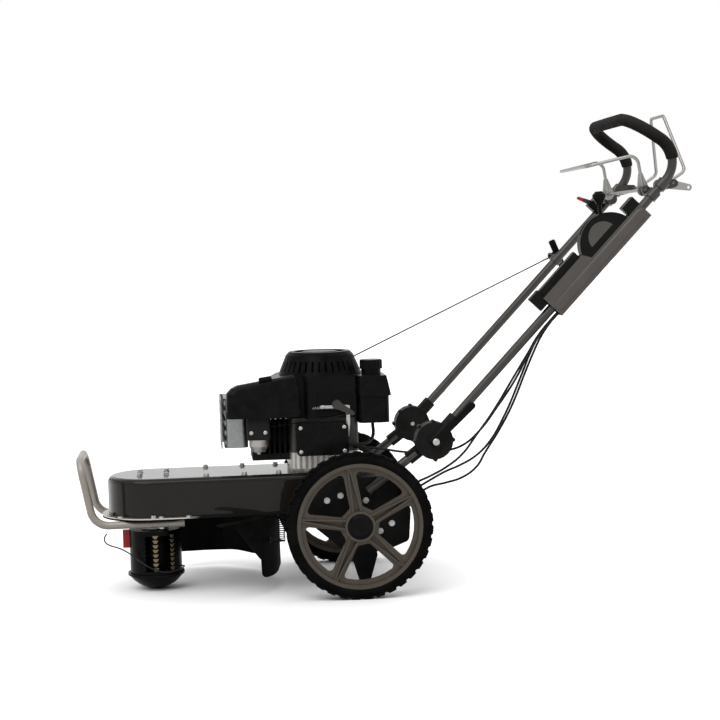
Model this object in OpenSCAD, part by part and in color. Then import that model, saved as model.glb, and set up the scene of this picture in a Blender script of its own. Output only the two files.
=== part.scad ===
// Wheeled string trimmer: a belt-driven line head in front, an engine above, two driven wheels.
// Millimetres. X runs to the rear, Y to the machine's right and Z up. The origin is on the ground.

/* [Wheels] */
// Outside radius of the tyre
wheel_r = 175; // [168:1:185]
// Width of the tyre
tyre_w = 48; // [42:1:54]
// Width of the tyre's tread blocks
tread_w = 40; // [34:1:44]
// Height of the tyre's section
tyre_h = 25; // [21:1:31]
// Radius of the wheel hub
hub_r = 36; // [32:1:40]
// Number of spokes
spoke_count = 5; // [4:1:6]
// Tread blocks on each shoulder of the tyre
lug_count = 36; // [24:1:44]
// Distance between the wheels' middle planes
track = 486; // [480:2:500]
// Radius of the axle
axle_r = 9.5; // [8:0.5:11]

/* [Deck] */
// Height of the deck's top above the ground
deck_top = 286; // [280:1:292]
// Height of the deck's underside
deck_bottom = 190; // [188:1:192]
// Half width of the belt housing
deck_r = 112; // [108:1:116]
// Distance of the trimmer head ahead of the axle
head_ahead = 488; // [480:1:500]
// Distance of the crankshaft ahead of the axle
crank_ahead = 66; // [62:1:70]
// Radius of the rolled edge round the housing's top
deck_fillet = 14; // [8:1:18]
// Thickness of the housing's sheet
sheet_t = 2.5; // [2:0.5:4]

/* [Trimmer head] */
// Outside radius of the line drum
drum_r = 64; // [60:1:66]
// Height of the drum's top above the ground
drum_top = 150; // [146:1:151]
// Height of the mow ball with its flange
ball_h = 42; // [38:1:44]
// Radius of the mow ball's flange
ball_r = 70; // [68:1:74]
// Teeth along each edge of a line slot
tooth_count = 8; // [5:1:9]
// Diameter of the cutting line
line_d = 3.4; // [2.4:0.2:4]
// Radius of the spindle
spindle_r = 10; // [9:0.5:11]

/* [Bumper and skirt] */
// Radius of the bumper's tube
bumper_r = 9.5; // [8:0.5:10]
// Distance of the bumper's front ahead of the axle
bumper_ahead = 662; // [650:1:680]
// Height of the bumper's front bar
bumper_top = 334; // [300:1:350]
// Half distance between the bumper's legs
bumper_half = 100; // [94:1:102]
// Inside radius of the debris skirt about the trimmer head
skirt_r = 306; // [300:1:308]
// Thickness of the debris skirt
skirt_t = 4; // [3:0.5:5]
// Height of the skirt's lower edge above the ground
skirt_low = 42; // [36:1:60]

/* [Engine] */
// Radius of the recoil cover's base
recoil_r = 104; // [100:1:106]
// Height of the recoil cover
recoil_h = 56; // [50:1:60]
// Number of air slots round the recoil cover
slot_count = 36; // [16:1:40]
// Height of the shroud above the deck
shroud_top_h = 236; // [232:1:240]
// Height of the crankcase's top above the deck
crankcase_h = 134; // [130:1:138]
// Radius of the crankshaft
crank_r = 12.5; // [11:0.5:13]
// Radius of the flywheel
flywheel_r = 72; // [66:1:73]
// Fins along the cylinder
fin_count = 6; // [4:1:7]
// Radius of the fuel cap
cap_r = 28; // [27:0.5:30]

/* [Handle] */
// Radius of the handle's tube
tube_r = 11; // [10:0.5:12]
// Half distance between the handlebar's tubes
handle_half = 210; // [209:1:214]
// Distance of the fold pivot behind the axle
pivot_x = 188; // [184:1:196]
// Height of the fold pivot above the ground
pivot_z = 367; // [364:1:374]
// Rise of the handle at rest, in degrees
handle_angle = 46.5; // [42:0.5:50]
// Length from the fold pivot to the handlebar's rear corner
handle_run = 914; // [890:2:940]
// Length of the grip arm from the rear corner to the cross bar
grip_run = 169; // [166:1:190]
// Angle between the handle's tubes and the grip arms, in degrees
grip_angle = 98.5; // [90:0.5:104]
// Radius of the foam grips
foam_r = 15; // [13:0.5:17]
// Radius of the hinge discs
disc_r = 45; // [40:1:48]

/* [Controls] */
// Radius of the bails' rod
bail_rod_r = 4; // [3:0.5:5]
// Distance of the shift lever's pivot along the handle
shift_s = 634; // [628:1:640]
// Radius of the shift quadrant
quadrant_r = 75; // [70:1:78]
// Length of the shift lever to the middle of its knob
shift_len = 94; // [88:1:104]
// Radius of the control cables
cable_r = 2.75; // [2:0.25:3]
// Radius of the starter rope
rope_r = 1.75; // [1.5:0.25:2.25]

/* [Hidden] */
$fn = 48;
hull_fn = 32;
// Clearances: running fits, gaps between bodies, and the overrun of cuts
run_fit = 0.05;
clear_gap = 0.4;
seat_gap = 0.3;
over = 1;
tube_sides = 8;
swell = 0.15;
arc_step = 9;

// Places along the machine, from the axle
head_x = -head_ahead;
crank_x = -crank_ahead;
deck_tail_x = -20;
gear_x = 36;
bumper_x = -bumper_ahead;

// Wheel details
lug_h = 7;
sidewall_shares = [[0, 0], [0.64, 0], [0.56, 0.7], [0.3, 1], [0.08, 0.9], [0, 0.6]];
rim_w = 44;
rim_lip_t = 9;
rim_r = wheel_r - tyre_h;
rim_lip_r = rim_r - rim_lip_t;
rim_web_t = 4;
spoke_z = 2;
spoke_t = 10;
spoke_half = 15;
window_r = 9;
window_in_r = 55;
window_edge = 11;
groove_deep = 6;
groove_edge = 2;
rib_h = 8;
rib_t = 3.5;
rib_hub_half = 12;
spoke_phase = 28;
hub_out = 20;
hub_in = 34;
hub_ring_t = 5;
hub_ring_h = 3;
hubcap_r = 30;
hubcap_h = 7;
hubcap_crown_r = 22;
axle_end = 14;

// Deck, base plate and head plate
plate_t = 3;
plate_lip = 16;
head_plate_t = 4;
head_plate_r = 128;
head_plate_back = 96;
web_half = 96;
web_front = 88;
web_back = 320;
rail_in_r = 282;
rail_near_angle = 58;
rail_far_angle = 56;
deck_hole_r = 40;
post_r = 6;
idler_x = -180;
idler_y = -75;
idler_len = 80;
idler_off = 5;
idler_pulley_r = 18;
idler_pulley_h = 14;
idler_bar_t = 4;
idler_bar_r = 10;
idler_end_r = 8;
idler_pin_r = 4;
house_top_h = 30;
house_r = 34;
house_low = 2;
house_flange_r = 56;
house_flange_t = 6;

// Belts and pulleys
belt_t = 8;
belt_h = 10;
cutter_belt_z = 235;
drive_belt_z = 260;
cutter_pulley_r = 36;
drive_small_r = 22;
drive_large_r = 42;
pulley_rim = 6;
pulley_wall = 5;
crank_low = 222;
gear_shaft_r = 9;
gear_shaft_low = 160;
gear_shaft_top = 270;

// Gearbox and chassis frame
gearbox_l = 96;
gearbox_back = 56;
gearbox_low = 137;
gearbox_r = 8;
gearbox_half = 52;
gear_boss_r = 20;
axle_tube_r = 15;
frame_in = 173;
frame_t = 4;
frame_l = 236;
frame_h = 180;
frame_back_x = 118;
frame_low = 112;
frame_round = 14;
frame_shares = [[0, 0.5], [0.38, 0.04], [0.76, 0], [0.98, 0.12], [1, 0.5], [0.9, 0.94], [0, 0.92]];
cross_r = 12;
cross_front_x = -100;
cross_back_x = 84;

// Bumper
bumper_leg_back = 56;
bumper_bend = 44;
bumper_lean = 30;
bumper_corner = 40;
bumper_tail_back = 74;

// Skirt and spring
skirt_near_angle = 53;
skirt_far_angle = 56;
skirt_wing_x = 56;
wing_lap = 2;
flap_top_x = 188;
flap_x = 259;
flap_z = 88;
spring_angle = -26;
spring_out = 343;
spring_r = 7;
spring_wire_r = 1.1;
spring_turns = 11;
spring_low = 134;
peg_r = 3.5;
peg_end = 10;
tab_w = 18;

// Parking foot
foot_y = -150;
foot_t = 6;
foot_l = 58;
foot_x = -10;
foot_low = 12;
foot_round = 3;
foot_shares = [[0, 1], [0, 0.5], [0.38, 0], [0.62, 0], [1, 0.5], [0.8, 1]];
foot_strap_w = 14;
foot_strap_t = 4;

// Trimmer head details
drum_wall = 5;
drum_core_r = 26;
drum_floor_t = 8;
slot_left = -26;
slot_post = 3;
slot_right = 40;
tooth_depth = 4;
clip_h = 44;
clip_out = 16;
clip_w = 14;
clip_drop = 2;
ball_flange_t = 6;
ball_pin_low = 16;
line_route = [[-118, -34, 146], [-124, -36, 134], [-121, -37, 124], [-110, -39, 117], [-92, -42, 111],
    [-72, -47, 102], [-54, -54, 90], [-36, -62, 77], [-16, -68, 64], [4, -70, 55], [24, -67, 50],
    [42, -59, 50], [56, -48, 52], [66, -36, 54], [69, -27, 56], [67, -22, 56], [61, -20, 56]];

// Engine, measured from the deck's top and the crankshaft
engine_flange_r = 88;
engine_flange_t = 10;
case_front = 84;
case_back = 84;
case_half = 95;
case_round = 12;
fin_t = 4;
fin_step = 13;
fin_half = 60;
fin_low = 32;
fin_round = 8;
fin_h = crankcase_h - fin_low;
barrel_r = 42;
head_block_t = 14;
shroud_nose_front = 171;
shroud_nose_half = 82;
shroud_half = 112;
shroud_body_front = 46;
shroud_slope = 34;
shroud_round = 12;
shroud_bore_r = 77;
recoil_top_r = 84;
recoil_crown_r = 76;
recoil_crown_h = 8;
recoil_wall = 4;
recoil_slot_w = 5;
recoil_slot_low = 9;
recoil_slot_h = 25;
recoil_ring_in = 44;
recoil_ring_out = 62;
recoil_ring_deep = 3;
flywheel_low = 18;
flywheel_t = 10;
flywheel_hub_r = 22;
blade_count = 14;
blade_h = 40;
blade_t = 3;
blade_in = 34;
crank_nut_h = 18;
tank_l = 76;
tank_near = -119;
tank_far = 79;
tank_drop = 117;
tank_low = shroud_top_h - tank_drop;
tank_step = 66;
tank_h = 116;
tank_lip = 5;
tank_taper = 12;
tank_round = 16;
neck_x = 38;
neck_y = -62;
neck_r = 24;
neck_h = 26;
cap_low = 13;
cap_h = 23;
cap_top_t = 8;
cap_ribs = 16;
cap_rib_r = 2;
filter_l = 187;
filter_h = 108;
filter_back_x = -58;
filter_near = -137;
filter_low = 146;
filter_round = 4;
filter_plan_r = 20;
filter_pitch = 11;
filter_shoulder = 58;
filter_crown = 88;
filter_crown_r = 12;
filter_shares = [[0.12, 0], [1, 0], [1, 0.74], [0.67, 1.02], [0.3, 0.9], [0.1, 0.74], [0.04, 0.44], [0.06, 0.2]];
filter_seam_w = 3;
filter_seam_h = 20;
filter_clip_l = 16;
filter_clip_h = 5;
filter_clip_shares = [0.32, 0.7];
carb_x = -162;
carb_y = -112;
carb_l = 56;
carb_low = 88;
carb_near = -132;
carb_round = 6;
bowl_r = 23;
bowl_h = 30;
bowl_drop_r = 16;
drain_r = 5;
drain_h = 6;
side_l = 126;
side_back_x = 55;
side_near = -140;
side_low = 46;
side_h = 78;
side_round = 10;
muffler_l = 58;
muffler_front = 244;
muffler_half = 70;
muffler_low = 64;
muffler_h = 122;
muffler_round = 14;
pipe_r = 14;
guard_t = 3;
guard_gap = 5;
guard_side = 34;
guard_holes_y = 6;
guard_holes_z = 5;
guard_hole_r = 7;
guard_stud_r = 5;
bracket_l = 96;
bracket_x = -18;
bracket_low = 140;
bracket_h = 54;
bracket_t = 3;
governor_r = 5;
governor_len = 44;
governor_hub_r = 12;
plug_r = 7;
plug_l = 16;
boot_r = 10;
boot_l = 34;
boot_up = 96;
hose_r = 4;
hose_route = [[56, -70, 405], [56, -70, 401], [56, -70, 394], [57, -72, 380], [54, -80, 367], [45, -92, 358],
    [30, -104, 354], [14, -111, 353], [2, -112, 353], [-5, -112, 353], [-11, -112, 353]];

// Fold hinge
lower_angle = 36.5;
lower_len = 200;
lower_start = 52;
disc_t = 20;
disc_step = 12;
disc_split = handle_half - disc_step;
disc_in = disc_split - disc_t;
disc_out = handle_half + disc_step;
lower_half = disc_split - disc_t / 2;
sleeve_r = 16;
sleeve_end = 76;
tube_start = 30;
disc_lug_r = 5;
disc_lug_count = 4;
disc_lug_phase = 45;
disc_dish_r = 32;
disc_dish = 3;
bolt_r = 5;
clevis_reach = 24;
clevis_out = disc_out + clevis_reach;
clevis_t = 4;
clevis_half = 9;
clevis_l = 16;
cam_reach = 14;
cam_y = disc_out + cam_reach;
cam_pin_r = 3;
cam_r = 8;
cam_len = 122;
cam_w = 16;
cam_t = 5;
cam_end_r = 8;

// Handlebar
rear_bend = 66;
front_bend = 85;
foam_share = 0.5;

// Console, in distances along the handle and out from its tube
console_s = 427;
console_end_s = 750;
console_step_s = 566;
console_low = 28;
console_high = 34;
console_strip = 12;
console_half = 18;
console_sheet = 2;
quadrant_half = console_half - console_sheet;
saddle_l = 24;
saddle_inset = 26;
quadrant_wall = 4;
quadrant_base = 8;
shift_n = 24;
shift_slot_half = 6.5;
shift_hub_r = 9;
shift_hub_half = 5;
shift_pin_r = 4;
shift_rod_r = 4.5;
shift_angle = 47;
shift_slot_from = 34;
shift_slot_to = 122;
knob_r = 16;
knob_neck_r = 8;
knob_h = 30;
strip_s = 432;
strip_end_s = 560;
strip_h = 18;
strip_half = 12;
block_l = 30;
block_low = 16;
block_h = 40;
tower_s = 714;
tower_l = 38;
tower_h = 24;
cover_round = 4;
throttle_s = 738;
throttle_l = 34;
throttle_h = 24;
throttle_half = 16;
throttle_pin_r = 3;
throttle_n = 22;
throttle_slot = 3;
throttle_len = 46;
throttle_t = 5;
throttle_hub_r = 7;
throttle_tip_r = 4;
throttle_angle = 112;
throttle_slot_l = 28;

// Bails and their brackets, along the handle and out from its tube
ring_r = 15;
ring_half = 11;
ear_w = 26;
ear_in = handle_half - ear_w;
ear_out = handle_half - tube_r - clear_gap;
ear_r = 10;
front_pivot = [792, 18];
front_shoulder = [845, 88];
front_bar = [745, 156];
front_half = 172;
front_bar_half = 150;
front_bend_r = 22;
pear_t = 4;
pear_r = 15;
pear_tip_r = 6;
pear_share = 0.42;
rear_ring_s = 824;
rear_pivot = [850, -23];
rear_elbow = [907, -36];
rear_bar = [986, 84];
rear_half = 128;
rear_bar_half = 57;
rear_bend_r = 16;
lever_end = [878, -66];
lever_hub_r = 12;
lever_end_r = 8;
lever_hole_r = 3.5;
lever_t = 4;
lever_y = -146;
pin_end = 190;

// Starter rope, its eye and its grip
eye_s = 577;
eye_n = 12;
eye_reach = 22;
eye_y = handle_half + eye_reach;
eye_r = 9;
eye_wire_r = 2.5;
eye_ring_half = 8;
rope_from = [20, 0, 562];
grip_l = 78;
grip_r = 9;
grip_edge = 2;
grip_stem_r = 9;
grip_stem_l = 10;

// Control cable routes
cable_routes = [
    [[508, -222, 677], [486, -222, 655], [447, -220, 612], [418, -217, 568], [386, -215, 517],
     [330, -213, 429], [291, -212, 377], [254, -211, 330], [217, -209, 302], [180, -205, 282],
     [145, -198, 266], [120, -191, 252], [108, -186, 247], [106, -183, 246], [106, -180, 246], [106, -177, 246]],
    [[508, -206, 677], [486, -206, 655], [447, -205, 610], [420, -203, 564], [399, -200, 520],
     [345, -196, 440], [300, -190, 382], [263, -180, 350], [223, -166, 336], [180, -158, 333],
     [124, -146, 334], [67, -124, 342], [30, -109, 345], [10, -104, 345], [6, -101, 345], [6, -98, 345],
     [6, -95, 345]],
    [[508, -214, 677], [486, -214, 655], [450, -213, 614], [426, -211, 570], [406, -209, 522],
     [357, -208, 414], [320, -207, 355], [288, -206, 325], [250, -204, 304], [215, -202, 290],
     [181, -199, 272], [142, -194, 250], [114, -188, 235], [102, -185, 230], [100, -183, 229], [100, -180, 229],
     [100, -177, 229]],
    [[508, -198, 677], [488, -198, 652], [456, -198, 608], [436, -197, 568], [421, -196, 534],
     [379, -195, 437], [349, -195, 384], [314, -196, 332], [292, -197, 298], [257, -198, 274],
     [215, -198, 262], [178, -196, 254], [148, -192, 236], [122, -187, 218], [110, -185, 211],
     [108, -183, 210], [108, -180, 210], [108, -177, 210]]];

// Fasteners
bolt_head_r = 6;
bolt_head_h = 5;
washer_r = 7.5;
washer_t = 1.5;
flange_bolt_r = 120;
flange_bolt_angles = [150, 205, 270, 312, 90, 48];
cover_bolt_r = 46;
cover_bolt_count = 4;
cover_bolt_phase = 45;
deck_bolt_y = 84;
deck_bolt_shares = [0.2, 0.42, 0.62];
frame_bolt_shares = [[0.34, 0.7], [0.6, 0.62], [0.86, 0.3], [0.74, 0.2], [0.2, 0.64]];
tube_bolt_shares = [0.72, 0.92];

// Derived places
axle_x = -(handle_x(lever_end) + lever_end_r + bumper_x - bumper_r) / 2;
deck_wall_low = deck_bottom + plate_t;
head_plate_low = deck_bottom - head_plate_t;
shroud_top = deck_top + shroud_top_h;
case_top = deck_top + crankcase_h;
pulley_h = belt_h + 2 * pulley_wall;
frame_out = frame_in + frame_t;
rope_eye = [handle_x([eye_s, eye_n]), eye_y, handle_z([eye_s, eye_n])];
rope_dir = unit(rope_eye - rope_from);
rope_len = norm(rope_eye - rope_from);
console_y = -handle_half;
leg_dir = [cos(grip_angle), 0, sin(grip_angle)];
rear_corner = [handle_run, 0, 0];
bar_corner = rear_corner + grip_run * leg_dir;

// Vector and outline helpers
function unit(v) = v / norm(v);
function handle_x(q) = pivot_x + q[0] * cos(handle_angle) - q[1] * sin(handle_angle);
function handle_z(q) = pivot_z + q[0] * sin(handle_angle) + q[1] * cos(handle_angle);
function on_y(q, y) = [q[0], y, q[1]];
function in_box(shares, l, h, x, y) = [for (q = shares) [x + q[0] * l, y + q[1] * h]];
function box_points(l, w, r) = [[r, r], [l - r, r], [l - r, w - r], [r, w - r]];
function edge_normal(a, b) = let (d = unit(b - a)) [d[1], -d[0]];
function arc_points(c, r, from, turn) = let (n = ceil(turn / arc_step))
    [for (k = [0 : n]) c + r * [cos(from + turn * k / n), sin(from + turn * k / n)]];
function corner_points(a, b, c, r) = let (m = edge_normal(a, b), n = edge_normal(b, c))
    arc_points(b, r, atan2(m[1], m[0]), acos(min(1, m * n)));

// A convex outline with its corners rounded outwards by r
module round_poly(p, r) {
    n = len(p);
    polygon([for (i = [0 : n - 1]) each corner_points(p[(i + n - 1) % n], p[i], p[(i + 1) % n], r)]);
}

// Two circles of unlike size joined by their tangents
module teardrop_2d(a, ra, b, rb) {
    d = norm(b - a);
    t = acos((ra - rb) / d);
    translate(a) rotate(atan2(b[1] - a[1], b[0] - a[0]))
        polygon(concat(arc_points([d, 0], rb, -t, 2 * t), arc_points([0, 0], ra, t, 360 - 2 * t)));
}

// A shape drawn in X and Z, extruded along Y from y to y + t
module stand_up(y, t) {
    translate([0, y + t, 0]) rotate([90, 0, 0]) linear_extrude(t) children();
}

// A rounded box from a corner
module round_box(size, r) {
    linear_extrude(size[2]) round_poly(box_points(size[0], size[1], r), r);
}

module rod(p, q, r) {
    d = q - p;
    translate(p) rotate([0, acos(d[2] / norm(d)), atan2(d[1], d[0])]) cylinder(r = r, h = norm(d));
}

// A bend of a round bar at a corner, from the direction u to v, swollen a little where the bar is bent
module bend(corner, u, v, bend_r, r, from_share = 0) {
    turn = acos(u * v);
    s = corner - u * bend_r * tan(turn / 2);
    side = unit(v - u * (u * v));
    c = s + side * bend_r;
    a = turn * from_share;
    ex = -side * cos(a) + u * sin(a);
    ey = side * sin(a) + u * cos(a);
    ez = cross(ex, ey);
    multmatrix([[ex[0], ey[0], ez[0], c[0]], [ex[1], ey[1], ez[1], c[1]], [ex[2], ey[2], ez[2], c[2]],
            [0, 0, 0, 1]])
        rotate_extrude(angle = turn - a) translate([bend_r, 0]) circle(r + swell);
}

// How far a straight bar can run on inside a bend without leaving its swollen skin
function lap(bend_r) = sqrt(swell * bend_r);

// A round bar through the points p, with a bend of radius bends[i] at each inner point
module bent_bar(p, bends, r) {
    n = len(p) - 1;
    dirs = [for (i = [0 : n - 1]) unit(p[i + 1] - p[i])];
    cut = [for (i = [0 : n]) i == 0 || i == n ? 0 : bends[i] * tan(acos(dirs[i - 1] * dirs[i]) / 2)];
    for (i = [0 : n - 1])
        rod(p[i] + dirs[i] * (cut[i] - lap(bends[i])), p[i + 1] - dirs[i] * (cut[i + 1] - lap(bends[i + 1])), r);
    for (i = [1 : n - 1])
        bend(p[i], dirs[i - 1], dirs[i], bends[i], r);
}

// Points of a cord's route, made into a closed tube
function curve_at(p, i, t) = let (a = p[max(i - 1, 0)], b = p[i], c = p[i + 1], d = p[min(i + 2, len(p) - 1)])
    0.5 * (2 * b + (c - a) * t + (2 * a - 5 * b + 4 * c - d) * t * t + (3 * b - a - 3 * c + d) * t * t * t);
function smooth(p, steps) = [for (i = [0 : len(p) - 2], k = [0 : steps - 1]) curve_at(p, i, k / steps), p[len(p) - 1]];
function tangent(p, i) = unit(p[min(i + 1, len(p) - 1)] - p[max(i - 1, 0)]);
function ring(p, i, r, sides, ref) = let (t = tangent(p, i), a = unit(cross(t, ref)), b = cross(t, a))
    [for (k = [0 : sides - 1]) p[i] + r * (a * cos(360 * k / sides) + b * sin(360 * k / sides))];

module tube(p, r, sides, ref) {
    n = len(p);
    polyhedron([for (i = [0 : n - 1]) each ring(p, i, r, sides, ref)],
        [[for (k = [0 : sides - 1]) k],
         [for (k = [sides - 1 : -1 : 0]) (n - 1) * sides + k],
         for (i = [0 : n - 2], k = [0 : sides - 1]) each [
            [i * sides + k, (i + 1) * sides + k, (i + 1) * sides + (k + 1) % sides],
            [i * sides + k, (i + 1) * sides + (k + 1) % sides, i * sides + (k + 1) % sides]]]);
}

// Everything is drawn from the axle and then set about the middle of the machine
module place() {
    translate([axle_x, 0, 0]) children();
}

module on_handle() {
    place() translate([pivot_x, 0, pivot_z]) rotate([0, -handle_angle, 0]) children();
}

module on_wheel(side) {
    place() translate([0, side * track / 2, wheel_r]) rotate([-side * 90, 0, 0]) children();
}

module on_crank() {
    place() translate([crank_x, 0, deck_top]) children();
}

module on_head() {
    place() translate([head_x, 0, 0]) children();
}

// Wheels
function lug_points(phase) = [for (i = [0 : lug_count - 1]) let (p = 360 / lug_count)
    each [for (q = [[-0.5, 0], [-0.3, 1], [0.1, 1], [0.3, 1], [0.42, 0]])
        (wheel_r - lug_h * (1 - q[1])) * [cos(p * (i + phase + q[0])), sin(p * (i + phase + q[0]))]]];

module tyre() {
    for (side = [0, 1])
        translate([0, 0, (side - 1) * tread_w / 2]) linear_extrude(tread_w / 2) difference() {
            polygon(lug_points(side / 2));
            circle(rim_r);
        }
    wall_w = (tyre_w - tread_w) / 2;
    for (m = [0, 1])
        mirror([0, 0, m]) translate([0, 0, tread_w / 2]) rotate_extrude()
            polygon(in_box(sidewall_shares, wheel_r - rim_r, wall_w, rim_r, 0));
}

module window() {
    out_r = rim_lip_r - window_edge - window_r;
    far = 180 / spoke_count - asin((spoke_half + window_r) / out_r);
    near = 180 / spoke_count - asin((spoke_half + window_r) / window_in_r);
    round_poly(concat([window_in_r * [cos(near), -sin(near)]], arc_points([0, 0], out_r, -far, 2 * far),
        [window_in_r * [cos(near), sin(near)]]), window_r);
}

module rim() {
    difference() {
        union() {
            rotate_extrude() polygon([[rim_lip_r, -rim_w / 2], [rim_r, -rim_w / 2], [rim_r, rim_w / 2],
                [rim_lip_r, rim_w / 2], [rim_lip_r, spoke_z], [rim_lip_r + rim_web_t, 0 - rim_web_t]]);
            translate([0, 0, -hub_in]) cylinder(r = hub_r - hub_ring_t, h = hub_in + hub_out);
            translate([0, 0, spoke_z]) cylinder(r = hub_r, h = hub_out - spoke_z + hub_ring_h);
            translate([0, 0, spoke_z]) linear_extrude(spoke_t) difference() {
                circle(rim_lip_r + rim_web_t);
                for (i = [0 : spoke_count - 1]) rotate(spoke_phase + 360 * (i + 0.5) / spoke_count) window();
            }
            for (i = [0 : spoke_count - 1], m = [-1, 1])
                rotate(spoke_phase + 360 * i / spoke_count) translate([0, 0, spoke_z + spoke_t])
                    linear_extrude(rib_h) polygon([
                        [hub_r - hub_ring_t, m * (rib_hub_half - rib_t)], [hub_r - hub_ring_t, m * rib_hub_half],
                        [rim_lip_r + rim_web_t, m * rib_t], [rim_lip_r + rim_web_t, 0]]);
        }
        translate([0, 0, -hub_in - over]) cylinder(r = axle_r + run_fit, h = hub_in + hub_out + 2 * over);
        translate([0, 0, hub_out]) cylinder(r = hub_r - hub_ring_t, h = hub_ring_h + over);
        for (i = [0 : spoke_count - 1])
            rotate(spoke_phase + 360 * i / spoke_count) translate([0, 0, spoke_z + spoke_t - groove_deep])
                linear_extrude(groove_deep + over) polygon([[hub_r + groove_edge, rib_t + groove_edge - rib_hub_half],
                    [rim_lip_r - 8 * groove_edge, 0], [hub_r + groove_edge, rib_hub_half - rib_t - groove_edge]]);
    }
}

module hub_cap() {
    translate([0, 0, hub_out]) rotate_extrude() polygon([[0, 0], [hubcap_r, 0],
        [hubcap_r, hubcap_h / 2], [hubcap_crown_r, hubcap_h], [0, hubcap_h]]);
}

module tyre_left() color("#1a1a1a") on_wheel(-1) tyre();
module tyre_right() color("#1a1a1a") on_wheel(1) tyre();
module rim_left() color("#8a8074") on_wheel(-1) rim();
module rim_right() color("#8a8074") on_wheel(1) rim();
module hub_cap_left() color("#222222") on_wheel(-1) hub_cap();
module hub_cap_right() color("#222222") on_wheel(1) hub_cap();

module axle() {
    half = track / 2 + axle_end;
    color("silver") place() rod([0, -half, wheel_r], [0, half, wheel_r], axle_r);
}

// Chassis
module stadium(r) {
    l = deck_tail_x - head_x;
    translate([head_x, 0]) circle(r);
    translate([deck_tail_x, 0]) circle(r);
    translate([head_x, -r]) square([l, 2 * r]);
}

// Half of the housing's cross-section, with its top edge rolled
module pan_profile(r, h, roll) {
    square([r, h - roll]);
    square([r - roll, h]);
    translate([r - roll, h - roll]) circle(roll);
}

module pan(r, h, roll) {
    l = deck_tail_x - head_x;
    for (x = [head_x, deck_tail_x])
        translate([x, 0, 0]) rotate_extrude() intersection() {
            pan_profile(r, h, roll);
            square([r, h]);
        }
    translate([head_x, 0, 0]) rotate([90, 0, 90]) linear_extrude(l) {
        pan_profile(r, h, roll);
        mirror([1, 0]) pan_profile(r, h, roll);
    }
}

module deck_housing() {
    h = deck_top - deck_wall_low;
    color("#4a4640") place() translate([0, 0, deck_wall_low]) difference() {
        pan(deck_r, h, deck_fillet);
        translate([0, 0, -over]) pan(deck_r - sheet_t, h - sheet_t + over, deck_fillet - sheet_t);
        translate([crank_x, 0, 0]) cylinder(r = deck_hole_r, h = h + over);
    }
}

module deck_base_plate() {
    color("#3c3934") place() {
        translate([0, 0, deck_bottom]) linear_extrude(plate_t) difference() {
            stadium(deck_r + plate_lip);
            translate([head_x, 0]) circle(house_r);
            translate([gear_x, 0]) circle(gear_boss_r);
        }
        translate([idler_x, idler_y, deck_bottom + plate_t])
            cylinder(r = post_r, h = cutter_belt_z + pulley_h / 2 + idler_bar_t - deck_bottom - plate_t);
    }
}

module head_plate() {
    color("#4a4640") on_head() translate([0, 0, head_plate_low]) linear_extrude(head_plate_t) {
        difference() {
            intersection() {
                circle(head_plate_r);
                translate([-head_plate_r, -head_plate_r]) square([head_plate_r + head_plate_back, 2 * head_plate_r]);
            }
            circle(house_r);
        }
        translate([web_front, -web_half]) square([web_back - web_front - skirt_t - peg_end, 2 * web_half]);
        rotate(-rail_near_angle) sector(rail_in_r, skirt_r + skirt_t, rail_near_angle + rail_far_angle);
        skirt_wing(rail_far_angle, skirt_r + skirt_t / 2 - rail_in_r);
        rotate(spring_angle) translate([rail_in_r, -tab_w / 2]) square([spring_out + spring_r - rail_in_r, tab_w]);
    }
}

// A flat ring sector, from the X axis round
module sector(r_in, r_out, turn) {
    reach = 2 * r_out;
    half = turn / 2;
    intersection() {
        difference() {
            circle(r_out, $fn = 2 * $fn);
            circle(r_in, $fn = 2 * $fn);
        }
        polygon([[0, 0], reach * [1, 0], reach * [cos(half), sin(half)] / cos(half / 2),
            reach * [cos(turn), sin(turn)]]);
    }
}

module frame_outline() {
    round_poly(in_box(frame_shares, frame_l, frame_h - frame_round, frame_back_x - frame_l, frame_low), frame_round);
}

module chassis_frame() {
    color("#232323") place() difference() {
        union() {
            stand_up(-frame_out, frame_t) frame_outline();
            stand_up(frame_in, frame_t) frame_outline();
            for (x = [cross_front_x, cross_back_x])
                rod([x, -frame_in - over, deck_bottom - cross_r], [x, frame_in + over, deck_bottom - cross_r], cross_r);
        }
        rod([0, -frame_out - over, wheel_r], [0, frame_out + over, wheel_r], axle_r + run_fit);
    }
}

module gearbox() {
    color("#2c2c2c") place() difference() {
        union() {
            stand_up(-gearbox_half, 2 * gearbox_half) round_poly([
                [gearbox_back - gearbox_l, gearbox_low], [gearbox_back, gearbox_low],
                [gearbox_back, deck_bottom - 2 * gearbox_r + pulley_wall],
                [gearbox_back - gearbox_l, deck_bottom - 2 * gearbox_r + pulley_wall]], gearbox_r);
            translate([gear_x, 0, deck_bottom - 2 * gearbox_r])
                cylinder(r = gear_boss_r, h = 2 * gearbox_r + plate_t + pulley_wall);
            rod([0, -frame_in, wheel_r], [0, frame_in, wheel_r], axle_tube_r);
        }
        rod([0, -frame_in - over, wheel_r], [0, frame_in + over, wheel_r], axle_r + run_fit);
        translate([gear_x, 0, gear_shaft_low]) cylinder(r = gear_shaft_r + run_fit, h = deck_top - gear_shaft_low);
    }
}

module v_pulley(groove_r, h) {
    rotate_extrude() polygon([[0, 0], [groove_r + pulley_rim, 0], [groove_r + pulley_rim, pulley_wall / 2],
        [groove_r, pulley_wall], [groove_r, h - pulley_wall], [groove_r + pulley_rim, h - pulley_wall / 2],
        [groove_r + pulley_rim, h], [0, h]]);
}

module gearbox_pulley() {
    color("#77736c") place() translate([gear_x, 0, 0]) {
        translate([0, 0, gear_shaft_low + clear_gap]) cylinder(r = gear_shaft_r, h = gear_shaft_top - gear_shaft_low);
        translate([0, 0, drive_belt_z - pulley_h / 2]) v_pulley(drive_large_r, pulley_h);
    }
}

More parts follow.
